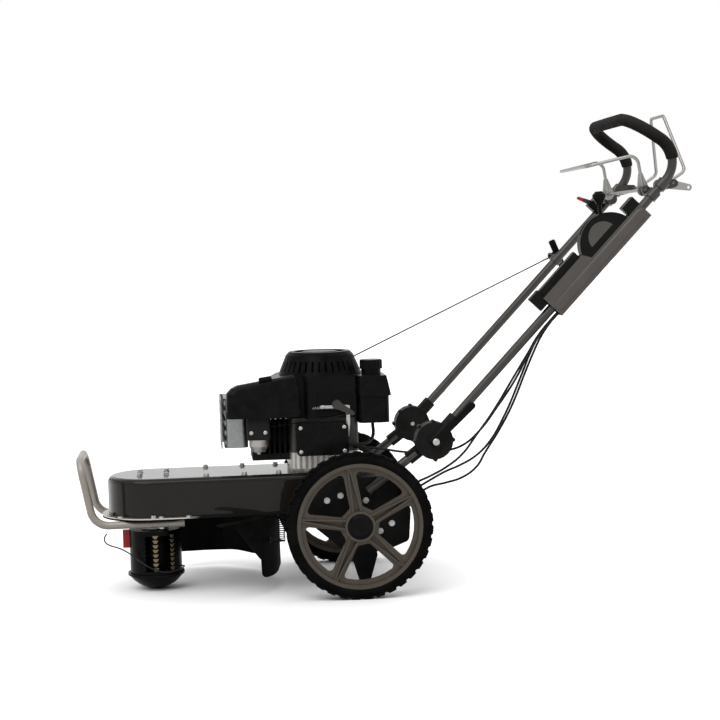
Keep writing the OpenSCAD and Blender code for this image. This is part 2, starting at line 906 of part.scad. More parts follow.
module belt(a, ra, b, rb, z) {
    translate([0, 0, z - belt_h / 2]) linear_extrude(belt_h) difference() {
        teardrop_2d([a, 0], ra + seat_gap + belt_t, [b, 0], rb + seat_gap + belt_t);
        teardrop_2d([a, 0], ra + seat_gap, [b, 0], rb + seat_gap);
    }
}

module drive_belts() {
    color("#151515") place() {
        belt(head_x, cutter_pulley_r, crank_x, cutter_pulley_r, cutter_belt_z);
        belt(crank_x, drive_small_r, gear_x, drive_large_r, drive_belt_z);
    }
}

module idler_arm() {
    wheel_at = [-idler_len, idler_off];
    bar_z = cutter_belt_z + idler_pulley_h / 2;
    color("#77736c") place() translate([idler_x, idler_y, 0]) difference() {
        union() {
            translate([0, 0, bar_z]) linear_extrude(idler_bar_t)
                teardrop_2d([0, 0], idler_bar_r, wheel_at, idler_end_r);
            translate([wheel_at[0], wheel_at[1], cutter_belt_z - idler_pulley_h / 2])
                cylinder(r = idler_pulley_r, h = idler_pulley_h);
        }
        translate([0, 0, deck_bottom]) cylinder(r = post_r + run_fit, h = deck_top - deck_bottom);
    }
}

module bumper() {
    z = head_plate_low - bumper_r;
    tail = head_x + bumper_tail_back;
    foot = bumper_x + bumper_lean;
    side = [[tail, bumper_half, z], [foot, bumper_half, z], [bumper_x, bumper_half, bumper_top]];
    color("#8f8a80") place() bent_bar([
        on_side(side[0], -1), on_side(side[1], -1), on_side(side[2], -1), side[2], side[1], side[0]],
        [0, bumper_bend, bumper_corner, bumper_corner, bumper_bend, 0], bumper_r);
}

function on_side(p, side) = [p[0], side * p[1], p[2]];

// The far side's straight run, from the curtain's bend towards the front
module skirt_wing(turn, inward) {
    bend_at = (skirt_r + skirt_t / 2) * [cos(turn), sin(turn)];
    translate([skirt_wing_x, bend_at[1] - inward])
        square([bend_at[0] + wing_lap - skirt_wing_x, inward + skirt_t / 2]);
}

module debris_skirt() {
    peg_z = spring_low - peg_r;
    color("#161616") on_head() {
        difference() {
            translate([0, 0, skirt_low]) linear_extrude(head_plate_low - skirt_low) {
                rotate(-skirt_near_angle) sector(skirt_r, skirt_r + skirt_t, skirt_near_angle + skirt_far_angle);
                skirt_wing(skirt_far_angle, skirt_t / 2);
            }
            stand_up(-2 * skirt_r, 2 * skirt_r) polygon([[0, 0], [flap_x, 0], [flap_x, flap_z],
                [flap_top_x, head_plate_low], [flap_top_x, head_plate_low + over], [0, head_plate_low + over]]);
        }
        rotate(spring_angle) rod([skirt_r + skirt_t / 2, 0, peg_z], [spring_out + peg_end, 0, peg_z], peg_r);
    }
}

function spring_route() = let (turn_n = 8 * spring_turns, tail = 4 * spring_wire_r,
        rise = head_plate_low - spring_low - 2 * tail)
    [[0, 0, spring_low], [0, 0, spring_low + spring_wire_r], [spring_r / 2, 0, spring_low + 3 * spring_wire_r],
     for (i = [0 : turn_n]) [spring_r * cos(45 * i), spring_r * sin(45 * i), spring_low + tail + rise * i / turn_n],
     [spring_r / 2, 0, head_plate_low - 3 * spring_wire_r], [0, 0, head_plate_low - spring_wire_r],
     [0, 0, head_plate_low]];

// Least gap of a coiled wire to itself, between points more than half a curl apart
function self_gap(p, r) = min([for (i = [0 : len(p) - 1], k = [i + 5 : 1 : len(p) - 1]) norm(p[i] - p[k])]) - 2 * r;
echo(spring_gap = self_gap(spring_route(), spring_wire_r));

module skirt_spring() {
    color("#c9c9c9") on_head() rotate(spring_angle) translate([spring_out, 0, 0])
        tube(spring_route(), spring_wire_r, 6, [0.1, 0.2, 1]);
}

module parking_foot() {
    color("#55524e") place() difference() {
        union() {
            stand_up(foot_y - foot_t / 2, foot_t)
                round_poly(in_box(foot_shares, foot_l, wheel_r - axle_tube_r - foot_low, foot_x, foot_low), foot_round);
            rod([0, foot_y - foot_strap_w / 2, wheel_r], [0, foot_y + foot_strap_w / 2, wheel_r],
                axle_tube_r + foot_strap_t);
        }
        rod([0, foot_y - foot_strap_w, wheel_r], [0, foot_y + foot_strap_w, wheel_r], axle_tube_r);
    }
}

// Trimmer head
module spindle_housing() {
    low = drum_top + house_low;
    color("#8b8b88") on_head() difference() {
        union() {
            translate([0, 0, low]) cylinder(r = house_r, h = deck_bottom + house_top_h - low);
            translate([0, 0, deck_wall_low]) cylinder(r = house_flange_r, h = house_flange_t);
        }
        translate([0, 0, low - over]) cylinder(r = spindle_r + run_fit, h = deck_top - low);
    }
}

module spindle() {
    color("silver") on_head() {
        translate([0, 0, ball_pin_low + clear_gap]) cylinder(r = spindle_r, h = cutter_belt_z - ball_pin_low);
        translate([0, 0, cutter_belt_z - pulley_h / 2]) v_pulley(cutter_pulley_r, pulley_h);
    }
}

// One toothed slot, drawn along the drum's skin and up it
function saw(u, depth, z, h) = [for (i = [0 : tooth_count - 1]) each
    [[u, z + h * i / tooth_count], [u + depth, z + h * (i + 0.7) / tooth_count]]];
function backwards(p) = [for (i = [len(p) - 1 : -1 : 0]) p[i]];

module line_slot(u0, u1) {
    z = ball_h + drum_floor_t;
    h = drum_top - drum_floor_t - z;
    stand_up(-drum_r - over, drum_r - drum_core_r)
        polygon(concat(saw(u0, tooth_depth, z, h), backwards(saw(u1, -tooth_depth, z, h))));
}

module line_drum() {
    color("#191919") on_head() difference() {
        translate([0, 0, ball_h + clear_gap]) cylinder(r = drum_r, h = drum_top - ball_h - clear_gap);
        difference() {
            translate([0, 0, ball_h + drum_floor_t]) cylinder(r = drum_r - drum_wall, h = drum_top - ball_h - 2 * drum_floor_t);
            translate([0, 0, ball_h]) cylinder(r = drum_core_r, h = drum_top - ball_h);
        }
        cylinder(r = spindle_r, h = drum_top + over);
        for (m = [0, 1]) mirror([m, 0, 0]) mirror([0, m, 0]) {
            line_slot(slot_left, -slot_post);
            line_slot(slot_post, slot_right);
        }
    }
}

module line_clip() {
    color("#a01818") on_head() difference() {
        translate([-drum_r - clip_out, -clip_w / 2, drum_top - clip_drop - clip_h])
            cube([clip_out + drum_wall, clip_w, clip_h]);
        cylinder(r = drum_r, h = drum_top + over);
    }
}

module mow_ball() {
    rise = ball_h - ball_flange_t;
    crown = ball_r - ball_flange_t / 2;
    sphere_r = (crown * crown + rise * rise) / (2 * rise);
    color("#151515") on_head() difference() {
        union() {
            intersection() {
                translate([0, 0, sphere_r]) sphere(sphere_r);
                cylinder(r = crown, h = rise);
            }
            translate([0, 0, rise]) cylinder(r = ball_r, h = ball_flange_t);
        }
        translate([0, 0, ball_pin_low]) cylinder(r = spindle_r + run_fit, h = ball_h);
    }
}

module trimmer_line() {
    color("#101010") on_head() tube(smooth(line_route, 2), line_d / 2, tube_sides, [0.1, 1, 0.3]);
}

// Engine
module crankshaft() {
    top = shroud_top + crank_nut_h;
    color("silver") place() translate([crank_x, 0, 0]) {
        translate([0, 0, crank_low]) cylinder(r = crank_r, h = top - crank_low);
        translate([0, 0, cutter_belt_z - pulley_h / 2]) v_pulley(cutter_pulley_r, pulley_h);
        translate([0, 0, drive_belt_z - pulley_h / 2]) v_pulley(drive_small_r, pulley_h);
    }
}

module flywheel() {
    color("#8d8d8a") on_crank() translate([0, 0, crankcase_h + flywheel_low]) difference() {
        union() {
            cylinder(r = flywheel_r, h = flywheel_t);
            cylinder(r = flywheel_hub_r, h = flywheel_t + blade_h);
            for (i = [0 : blade_count - 1])
                rotate(360 * i / blade_count) translate([blade_in, -blade_t / 2, flywheel_t - over])
                    cube([flywheel_r - blade_in - blade_t, blade_t, blade_h + over]);
        }
        translate([0, 0, -over]) cylinder(r = crank_r, h = flywheel_t + blade_h + 2 * over);
    }
}

module crankcase() {
    color("#b4b4b0") on_crank() difference() {
        union() {
            cylinder(r = engine_flange_r, h = engine_flange_t);
            translate([-case_front, -case_half, engine_flange_t])
                round_box([case_front + case_back, 2 * case_half, crankcase_h - engine_flange_t], case_round);
        }
        translate([0, 0, -over]) cylinder(r = crank_r + run_fit, h = crankcase_h + 2 * over);
    }
}

module fin_outline() {
    translate([fin_low, -fin_half]) round_poly(box_points(fin_h, 2 * fin_half, fin_round), fin_round);
}

module cylinder_block() {
    l = fin_step * fin_count;
    color("#a4a4a0") on_crank() translate([-case_front, 0, 0]) rotate([0, -90, 0]) {
        for (i = [0 : fin_count - 1])
            translate([0, 0, fin_step * i + fin_step - fin_t]) linear_extrude(fin_t) fin_outline();
        translate([fin_low + fin_h / 2, 0, 0]) cylinder(r = barrel_r, h = l);
        translate([0, 0, l]) linear_extrude(head_block_t) fin_outline();
    }
}

module engine_shroud() {
    h = shroud_top_h - crankcase_h;
    color("#1d1d1d") on_crank() translate([0, 0, crankcase_h]) difference() {
        union() {
            translate([-shroud_body_front, -shroud_half, 0])
                round_box([shroud_body_front + case_back, 2 * shroud_half, h], shroud_round);
            intersection() {
                translate([-shroud_nose_front, -shroud_nose_half, 0])
                    round_box([shroud_nose_front, 2 * shroud_nose_half, h], shroud_round);
                stand_up(-shroud_half, 2 * shroud_half) polygon([[-shroud_nose_front, 0], [0, 0], [0, h],
                    [-shroud_nose_front + 2 * shroud_slope, h], [-shroud_nose_front, h - shroud_slope]]);
            }
        }
        translate([0, 0, -over]) cylinder(r = shroud_bore_r, h = h + 2 * over);
    }
}

module recoil_cover() {
    cone_h = recoil_h - recoil_crown_h;
    color("#202020") on_crank() translate([0, 0, shroud_top_h]) difference() {
        rotate_extrude() polygon([[0, 0], [recoil_r, 0], [recoil_top_r, cone_h], [recoil_crown_r, recoil_h], [0, recoil_h]]);
        translate([0, 0, -over]) cylinder(r1 = recoil_r - recoil_wall, r2 = recoil_top_r - 2 * recoil_wall,
            h = cone_h - recoil_wall + over);
        for (i = [0 : slot_count - 1])
            rotate(360 * (i + 0.5) / slot_count) translate([recoil_top_r - 2 * recoil_wall, -recoil_slot_w / 2, recoil_slot_low])
                cube([recoil_r, recoil_slot_w, recoil_slot_h]);
        translate([0, 0, recoil_h - recoil_ring_deep]) difference() {
            cylinder(r = recoil_ring_out, h = recoil_ring_deep + over);
            translate([0, 0, -over]) cylinder(r = recoil_ring_in, h = recoil_ring_deep + 3 * over);
        }
        translate([-crank_x, 0, -deck_top - shroud_top_h]) rod(rope_from - rope_dir * recoil_r / 2, rope_from + rope_dir * recoil_r, rope_r + run_fit);
    }
}

module fuel_tank() {
    w = tank_far - tank_near;
    x = case_back;
    color("#1b1b1b") on_crank() {
        translate([x, tank_near, tank_low]) round_box([tank_l, w, tank_step + over], tank_round);
        intersection() {
            translate([x, tank_near - tank_lip, tank_low + tank_step])
                round_box([tank_l + tank_lip, w + 2 * tank_lip, tank_h - tank_step], tank_round);
            stand_up(tank_near - 2 * tank_lip, w + 4 * tank_lip) polygon([[x, tank_low], [x + tank_l + tank_lip, tank_low],
                [x + tank_l + tank_lip, tank_low + tank_step], [x + tank_l - tank_taper + tank_lip, tank_low + tank_h],
                [x, tank_low + tank_h]]);
        }
        translate([x + neck_x, neck_y, tank_low + tank_h - over]) cylinder(r = neck_r, h = neck_h + over);
    }
}

module fuel_cap() {
    color("#141414") on_crank() translate([case_back + neck_x, neck_y, tank_low + tank_h + cap_low]) difference() {
        union() {
            cylinder(r = cap_r - cap_rib_r, h = cap_h);
            for (i = [0 : cap_ribs - 1])
                rotate(360 * i / cap_ribs) translate([cap_r - cap_rib_r, 0, 0]) cylinder(r = cap_rib_r, h = cap_h - cap_rib_r);
        }
        translate([0, 0, -over]) cylinder(r = neck_r + clear_gap, h = cap_h - cap_top_t + over);
    }
}

module air_filter_cover() {
    d = -shroud_nose_half - filter_near;
    x = filter_back_x - filter_l;
    color("#262626") on_crank() difference() {
        union() {
            intersection() {
                stand_up(filter_near, d) round_poly(in_box(filter_shares, filter_l, filter_h, x, filter_low), filter_round);
                translate([x - filter_round, filter_near, filter_low - filter_l])
                    round_box([filter_l + 2 * filter_round, 3 * d, 3 * filter_l], filter_plan_r);
                translate([x, filter_near, filter_low]) rotate([0, -filter_pitch, 0]) translate([-filter_l, 0, 0])
                    rotate([90, 0, 90]) linear_extrude(3 * filter_l) round_poly([[filter_crown_r, -filter_l],
                        [2 * d, -filter_l], [2 * d, filter_crown], [d, filter_crown],
                        [filter_crown_r, filter_shoulder - filter_crown_r]], filter_crown_r);
            }
            for (q = filter_clip_shares)
                translate([x + q * filter_l, filter_near - filter_clip_h, filter_low + filter_seam_h - filter_clip_l / 2])
                    cube([filter_clip_l, filter_clip_h + over, filter_clip_l]);
        }
        translate([x - filter_l, filter_near - filter_clip_h - over, filter_low + filter_seam_h]) difference() {
            cube([2 * filter_l + filter_l, d, filter_seam_w]);
            translate([0, filter_clip_h + over + filter_seam_w, -over])
                cube([2 * filter_l + filter_l, d, filter_seam_w + 2 * over]);
            for (q = filter_clip_shares)
                translate([filter_l + q * filter_l, -over, -over]) cube([filter_clip_l, d, filter_seam_w + 2 * over]);
        }
    }
}

module carburettor() {
    color("#9a968c") on_crank() translate([carb_x, 0, carb_low]) {
        translate([-carb_l / 2, carb_near, 0])
            round_box([carb_l, -shroud_nose_half - carb_near, filter_low - filter_round - carb_low], carb_round);
        translate([0, -shroud_nose_half - over, 0])
            cube([carb_l / 2, shroud_nose_half - fin_half + over, crankcase_h - carb_low]);
        translate([0, carb_y, -bowl_h]) cylinder(r1 = bowl_drop_r, r2 = bowl_r, h = bowl_h - bowl_drop_r);
        translate([0, carb_y, -bowl_drop_r]) cylinder(r = bowl_r, h = bowl_drop_r + over);
        translate([0, carb_y, -bowl_h - drain_h]) cylinder(r = drain_r, h = drain_h + over, $fn = 6);
    }
}

module muffler() {
    stub = muffler_front - muffler_l - case_front - fin_step * fin_count - head_block_t;
    color("#b9b6a8") on_crank() translate([-muffler_front, 0, muffler_low]) {
        translate([0, -muffler_half, 0]) round_box([muffler_l, 2 * muffler_half, muffler_h], muffler_round);
        rod([muffler_l - over, 0, muffler_h / 2], [muffler_l + stub, 0, muffler_h / 2], pipe_r);
    }
}

module muffler_guard() {
    w = 2 * (muffler_half + guard_gap);
    color("#6f6c66") on_crank() translate([-muffler_front - guard_gap - guard_t, 0, muffler_low]) {
        difference() {
            translate([0, -w / 2, 0]) cube([guard_t, w, muffler_h]);
            for (i = [0 : guard_holes_y - 1], k = [0 : guard_holes_z - 1])
                translate([-over, w * ((i + 0.5) / guard_holes_y - 0.5), muffler_h * (k + 0.5) / guard_holes_z])
                    rotate([0, 90, 0]) cylinder(r = guard_hole_r, h = guard_t + 2 * over);
        }
        translate([0, w / 2 - guard_t, 0]) cube([guard_side, guard_t, muffler_h]);
        for (k = [-1, 1])
            rod([guard_t - over, k * muffler_half / 2, muffler_h / 2], [guard_t + guard_gap, k * muffler_half / 2, muffler_h / 2], guard_stud_r);
    }
}

module side_cover() {
    color("#1c1c1c") on_crank() translate([side_back_x - side_l, -case_half, side_low]) rotate([90, 0, 0])
        round_box([side_l, side_h, -case_half - side_near], side_round);
}

module control_bracket() {
    color("#8c8a84") on_crank() {
        translate([bracket_x, -shroud_half, bracket_low]) rotate([90, 0, 0])
            round_box([bracket_l, bracket_h, bracket_t], governor_r);
        translate([bracket_x + bracket_l / 2, -shroud_half - bracket_t, bracket_low + bracket_h / 2]) rotate([90, 30, 0]) {
            cylinder(r = governor_hub_r, h = governor_r);
            translate([0, 0, governor_r - over]) linear_extrude(bracket_t + over)
                teardrop_2d([0, 0], 2 * governor_r, [governor_len, 0], governor_r);
        }
    }
}

module spark_plug() {
    x = -case_front - fin_step * fin_count - head_block_t / 2;
    color("#e8e4da") on_crank() {
        rod([x, fin_half, boot_up], [x, fin_half + plug_l, boot_up], plug_r);
        rod([x, fin_half + plug_l - over, boot_up], [x, fin_half + plug_l + boot_l, boot_up], boot_r);
    }
}

module fuel_hose() {
    color("#202020") place() tube(smooth(hose_route, 2), hose_r, tube_sides, [0.2, 0.3, 0.1]);
}

// Fold hinge and lower handle
module on_lower(side) {
    place() translate([pivot_x, side * lower_half, pivot_z]) rotate([0, 180 - lower_angle, 0]) children();
}

module lower_handle_tubes() {
    color("#3a3835") for (side = [-1, 1])
        on_lower(side) rod([lower_start, 0, 0], [lower_len, 0, 0], tube_r);
}

// A hinge disc about the Y axis with lugs round its rim, from y to y + t
module hinge_disc(y, t) {
    rod([0, y, 0], [0, y + t, 0], disc_r);
    for (i = [0 : disc_lug_count - 1]) rotate([0, disc_lug_phase + 360 * i / disc_lug_count, 0])
        rod([disc_r, y, 0], [disc_r, y + t, 0], disc_lug_r);
}

module lower_hinge_discs() {
    t = disc_split - disc_in - clear_gap / 2;
    color("#1b1b1b") for (side = [-1, 1]) difference() {
        union() {
            place() translate([pivot_x, 0, pivot_z]) hinge_disc(side > 0 ? disc_in : -disc_in - t, t);
            on_lower(side) intersection() {
                rod([0, 0, 0], [sleeve_end, 0, 0], sleeve_r);
                translate([0, -side * (lower_half - disc_in), 0])
                    translate([0, (side > 0 ? 0 : -t) + seat_gap, -disc_r])
                        cube([sleeve_end, t - 2 * seat_gap, 2 * disc_r]);
            }
        }
        on_lower(side) rod([lower_start, 0, 0], [lower_len, 0, 0], tube_r);
        place() rod([pivot_x, side * (disc_in - over), pivot_z], [pivot_x, side * disc_out, pivot_z], bolt_r);
    }
}

module upper_hinge_discs() {
    low = disc_split + clear_gap / 2;
    t = disc_out - low;
    color("#1b1b1b") on_handle() for (side = [-1, 1]) {
        difference() {
            union() {
                hinge_disc(side > 0 ? low : -disc_out, t);
                intersection() {
                    rod([0, side * handle_half, 0], [sleeve_end, side * handle_half, 0], sleeve_r);
                    translate([0, side > 0 ? low : -disc_out - sleeve_r, -disc_r]) cube([sleeve_end, t + sleeve_r, 2 * disc_r]);
                }
                for (m = [-1, 1])
                    translate([-clevis_l / 2, side > 0 ? disc_out - over : -clevis_out, m * (clevis_half + clevis_t / 2) - clevis_t / 2])
                        cube([clevis_l, clevis_out - disc_out + over, clevis_t]);
            }
            rod([tube_start, side * handle_half, 0], [handle_run, side * handle_half, 0], tube_r);
            rod([0, side * low - side * over, 0], [0, side * (disc_out + over), 0], bolt_r + run_fit);
        }
        rod([0, side * cam_y, -clevis_half - clevis_t], [0, side * cam_y, clevis_half + clevis_t], cam_pin_r);
    }
}

module clamp_lever(side) {
    h = clevis_half - clear_gap;
    color("#4d4d4d") on_handle() translate([0, side * cam_y, 0]) difference() {
        union() {
            translate([0, 0, -h]) cylinder(r = cam_r, h = 2 * h);
            translate([0, -cam_t / 2, 0]) stand_up(0, cam_t) intersection() {
                teardrop_2d([0, 0], cam_r, [cam_len, -cam_w / 2], cam_end_r);
                translate([0, -cam_w]) square([cam_len + cam_w, cam_w + h]);
            }
        }
        translate([0, 0, -2 * h]) cylinder(r = cam_pin_r + run_fit, h = 4 * h);
    }
}

module clamp_lever_left() clamp_lever(-1);
module clamp_lever_right() clamp_lever(1);

// Handlebar, drawn along the handle: X up its tubes, Z out from them
function bar_path(y) = [[tube_start, y, 0], rear_corner + [0, y, 0], bar_corner + [0, y, 0]];

module handlebar() {
    near = bar_path(-handle_half);
    far = bar_path(handle_half);
    color("#3a3835") on_handle() bent_bar([near[0], near[1], near[2], far[2], far[1], far[0]],
        [0, rear_bend, front_bend, front_bend, rear_bend, 0], tube_r);
}

module foam_grips() {
    turn = grip_angle;
    rear_cut = rear_bend * tan(turn / 2);
    color("#1a1a1a") on_handle() for (side = [-1, 1]) {
        y = [0, side * handle_half, 0];
        difference() {
            union() foam_run(side, y, rear_cut, foam_r);
            union() foam_run(side, y, rear_cut, tube_r);
        }
    }
}

module foam_run(side, y, rear_cut, r) {
    bend(rear_corner + y, [1, 0, 0], leg_dir, rear_bend, r, foam_share);
    rod(rear_corner + y + leg_dir * (rear_cut - lap(rear_bend)),
        bar_corner + y - leg_dir * (front_bend - lap(front_bend)), r);
    bend(bar_corner + y, leg_dir, [0, -side, 0], front_bend, r);
}

// Console on the left tube
module console() {
    color("#5b5955") on_handle() translate([0, console_y, 0]) {
        for (y = [-console_half, console_half - console_sheet])
            stand_up(y, console_sheet) polygon([[console_s, -console_low], [console_end_s, -console_low],
                [console_end_s, console_strip], [console_step_s + console_strip, console_strip],
                [console_step_s, console_high], [console_s, console_high]]);
        translate([console_s, -console_half, -console_low]) cube([console_end_s - console_s, 2 * console_half, console_sheet]);
        for (s = [console_s + saddle_inset, console_end_s - saddle_inset - saddle_l])
            difference() {
                translate([s, -console_half, tube_r - console_low]) cube([saddle_l, 2 * console_half, console_low - tube_r]);
                rod([s - over, 0, 0], [s + saddle_l + over, 0, 0], tube_r);
            }
    }
}

module quadrant() {
    difference() {
        rod([0, -quadrant_half, 0], [0, quadrant_half, 0], quadrant_r);
        rod([0, quadrant_wall - quadrant_half, 0], [0, quadrant_half - quadrant_wall, 0], quadrant_r - quadrant_wall);
        translate([-2 * quadrant_r, -quadrant_r, quadrant_base - 2 * quadrant_r]) cube([4 * quadrant_r, 2 * quadrant_r, 2 * quadrant_r]);
        stand_up(-shift_slot_half, 2 * shift_slot_half) polygon([[0, shift_n],
            2 * quadrant_r * [cos(shift_slot_from), sin(shift_slot_from)], 2 * quadrant_r * [0, 1],
            2 * quadrant_r * [cos(shift_slot_to), sin(shift_slot_to)]]);
        rod([-2 * quadrant_r, 0, 0], [2 * quadrant_r, 0, 0], tube_r + clear_gap);
    }
    rod([0, -quadrant_half, shift_n], [0, quadrant_half, shift_n], shift_pin_r);
}

module console_covers() {
    color("#1c1c1c") on_handle() translate([0, console_y, 0]) {
        translate([shift_s, 0, 0]) quadrant();
        translate([strip_s, -strip_half, console_high]) round_box([strip_end_s - strip_s, 2 * strip_half, strip_h], cover_round);
        for (y = [-console_half, console_half])
            translate([strip_s, y > 0 ? strip_half - over : -console_half, console_high])
                cube([strip_end_s - strip_s, console_half - strip_half + over, console_sheet]);
        translate([strip_s - block_l, -strip_half, block_low]) round_box([block_l + over, 2 * strip_half, block_h], cover_round);
        difference() {
            translate([tower_s, -console_half + console_sheet, console_strip]) round_box([tower_l, 2 * (console_half - console_sheet), tower_h], cover_round);
            rod([tower_s - over, 0, 0], [tower_s + tower_l + over, 0, 0], tube_r + clear_gap);
        }
    }
}

module shift_lever() {
    a = shift_angle;
    d = [cos(a), 0, sin(a)];
    color("#1c1c1c") on_handle() translate([shift_s, console_y, shift_n]) difference() {
        union() {
            rod([0, -shift_hub_half, 0], [0, shift_hub_half, 0], shift_hub_r);
            rod([0, 0, 0], d * shift_len, shift_rod_r);
            rotate([0, 90 - a, 0]) translate([0, 0, shift_len - knob_h / 2]) rotate_extrude() polygon([[0, 0],
                [knob_neck_r, 0], [knob_r, knob_h / 2], [knob_r, knob_h - knob_neck_r], [knob_neck_r, knob_h], [0, knob_h]]);
        }
        rod([0, -2 * shift_hub_half, 0], [0, 2 * shift_hub_half, 0], shift_pin_r + run_fit);
    }
}

// Throttle on the right tube
module throttle_housing() {
    color("#1c1c1c") on_handle() translate([throttle_s, handle_half, 0]) {
        difference() {
            translate([0, -throttle_half, 0]) round_box([throttle_l, 2 * throttle_half, tube_r + throttle_h], cover_round);
            rod([-over, 0, 0], [throttle_l + over, 0, 0], tube_r);
            translate([-over, -throttle_slot, tube_r + clear_gap]) cube([throttle_slot_l + 2 * over, 2 * throttle_slot, 2 * throttle_h]);
        }
        rod([throttle_l / 2, -throttle_half, throttle_n], [throttle_l / 2, throttle_half, throttle_n], throttle_pin_r);
    }
}

module throttle_lever() {
    color("#b01c1c") on_handle() translate([throttle_s + throttle_l / 2, handle_half, throttle_n]) rotate([0, -throttle_angle, 0])
        stand_up(-throttle_t / 2, throttle_t) difference() {
            teardrop_2d([0, 0], throttle_hub_r, [throttle_len, 0], throttle_tip_r);
            circle(throttle_pin_r + run_fit);
        }
}

// Brackets, bails and rope eye on the handlebar
module bracket_ring(s, pivot) {
    for (side = [-1, 1]) difference() {
        union() {
            rod([s - ring_half, side * handle_half, 0], [s + ring_half, side * handle_half, 0], ring_r);
            stand_up(side > 0 ? ear_in : -ear_out, ear_out - ear_in) teardrop_2d([s, 0], ring_r - over, pivot, ear_r);
        }
        rod([s - 2 * ring_r, side * handle_half, 0], [s + 2 * ring_r, side * handle_half, 0], tube_r);
        rod([pivot[0], side * (ear_in - over), pivot[1]], [pivot[0], side * (ear_out + over), pivot[1]], bail_rod_r + run_fit);
    }
}

module rope_eye_ring() {
    place() translate(rope_eye) rotate([0, acos(rope_dir[2]), atan2(rope_dir[1], rope_dir[0])])
        rotate_extrude() translate([eye_r, 0]) circle(eye_wire_r);
    on_handle() difference() {
        union() {
            rod([eye_s - eye_ring_half, handle_half, 0], [eye_s + eye_ring_half, handle_half, 0], ring_r);
            rod([eye_s, handle_half, 0], [eye_s, eye_y - eye_r, eye_n], eye_wire_r);
        }
        rod([eye_s - ring_r, handle_half, 0], [eye_s + ring_r, handle_half, 0], tube_r);
    }
}

module handlebar_brackets() {
    color("#77736c") {
        on_handle() {
            bracket_ring(front_pivot[0], front_pivot);
            bracket_ring(rear_ring_s, rear_pivot);
        }
        rope_eye_ring();
    }
}

module front_bail() {
    side = [on_y(front_pivot, front_half), on_y(front_shoulder, front_half), on_y(front_bar, front_bar_half)];
    tip = front_pivot + (front_shoulder - front_pivot) * pear_share;
    color("#b3afa6") on_handle() {
        bent_bar([on_side(side[0], -1), on_side(side[1], -1), on_side(side[2], -1), side[2], side[1], side[0]],
            [0, front_bend_r, front_bend_r, front_bend_r, front_bend_r, 0], bail_rod_r);
        rod(on_y(front_pivot, -pin_end), on_y(front_pivot, pin_end), bail_rod_r);
        for (m = [-1, 1])
            stand_up(m * front_half - pear_t / 2, pear_t) teardrop_2d(front_pivot, pear_r, tip, pear_tip_r);
    }
}

module rear_bail() {
    side = [on_y(rear_pivot, pin_end), on_y(rear_pivot, rear_half), on_y(rear_elbow, rear_half), on_y(rear_bar, rear_bar_half)];
    color("#b3afa6") on_handle() {
        bent_bar([on_side(side[0], -1), on_side(side[1], -1), on_side(side[2], -1), on_side(side[3], -1),
            side[3], side[2], side[1], side[0]],
            [0, rear_bend_r, rear_bend_r, rear_bend_r, rear_bend_r, rear_bend_r, rear_bend_r, 0], bail_rod_r);
        stand_up(lever_y - lever_t, lever_t) difference() {
            teardrop_2d(rear_pivot, lever_hub_r, lever_end, lever_end_r);
            translate(lever_end) circle(lever_hole_r);
        }
    }
}

module starter_grip() {
    at = rope_eye + rope_dir * (eye_wire_r + seat_gap + grip_stem_l + grip_r);
    across = unit(cross(rope_dir, [0, 1, 0]));
    color("#141414") place() difference() {
        union() {
            for (m = [-1, 1])
                rod(at, at + m * across * (grip_l / 2 - grip_edge), grip_r);
            for (m = [-1, 1])
                rod(at, at + m * across * grip_l / 2, grip_r - grip_edge);
            rod(at - rope_dir * (grip_stem_l + grip_r), at, grip_stem_r);
        }
        rod(at - rope_dir * (grip_stem_l + 2 * grip_r), at, rope_r + run_fit);
    }
}

module starter_rope() {
    inside = recoil_crown_h;
    tail = eye_wire_r + grip_stem_l;
    color("#2a2a2a") place() rod(rope_from - rope_dir * inside, rope_eye + rope_dir * tail, rope_r);
}

module control_cables() {
    color("#151515") place() for (route = cable_routes)
        tube(smooth(route, 2), cable_r, tube_sides, [0.05, 1, 0.02]);
}

// Hex heads on their washers, seated on a face that looks along the Z axis
module hex_head() {
    cylinder(r = washer_r, h = washer_t);
    translate([0, 0, washer_t]) cylinder(r = bolt_head_r, h = bolt_head_h, $fn = 6);
}

module fasteners() {
    leg_z = head_plate_low - 2 * bumper_r;
    color("#b8b6b0") {
        on_head() {
            for (i = [0 : cover_bolt_count - 1])
                rotate(cover_bolt_phase + 360 * i / cover_bolt_count) translate([cover_bolt_r, 0, deck_top]) hex_head();
            for (a = flange_bolt_angles)
                rotate(a) translate([flange_bolt_r, 0, deck_wall_low]) hex_head();
        }
        place() {
            for (m = [-1, 1], q = deck_bolt_shares)
                translate([head_x + q * (crank_x - head_x) + cover_bolt_r, m * deck_bolt_y, deck_top]) hex_head();
            for (m = [-1, 1], q = frame_bolt_shares)
                translate([frame_back_x + (q[0] - 1) * frame_l, m * frame_out, frame_low + q[1] * frame_h])
                    rotate([-m * 90, 0, 0]) hex_head();
            for (m = [-1, 1])
                rod([pivot_x, m * disc_in, pivot_z], [pivot_x, m * disc_out, pivot_z], bolt_r);
        }
    }
}

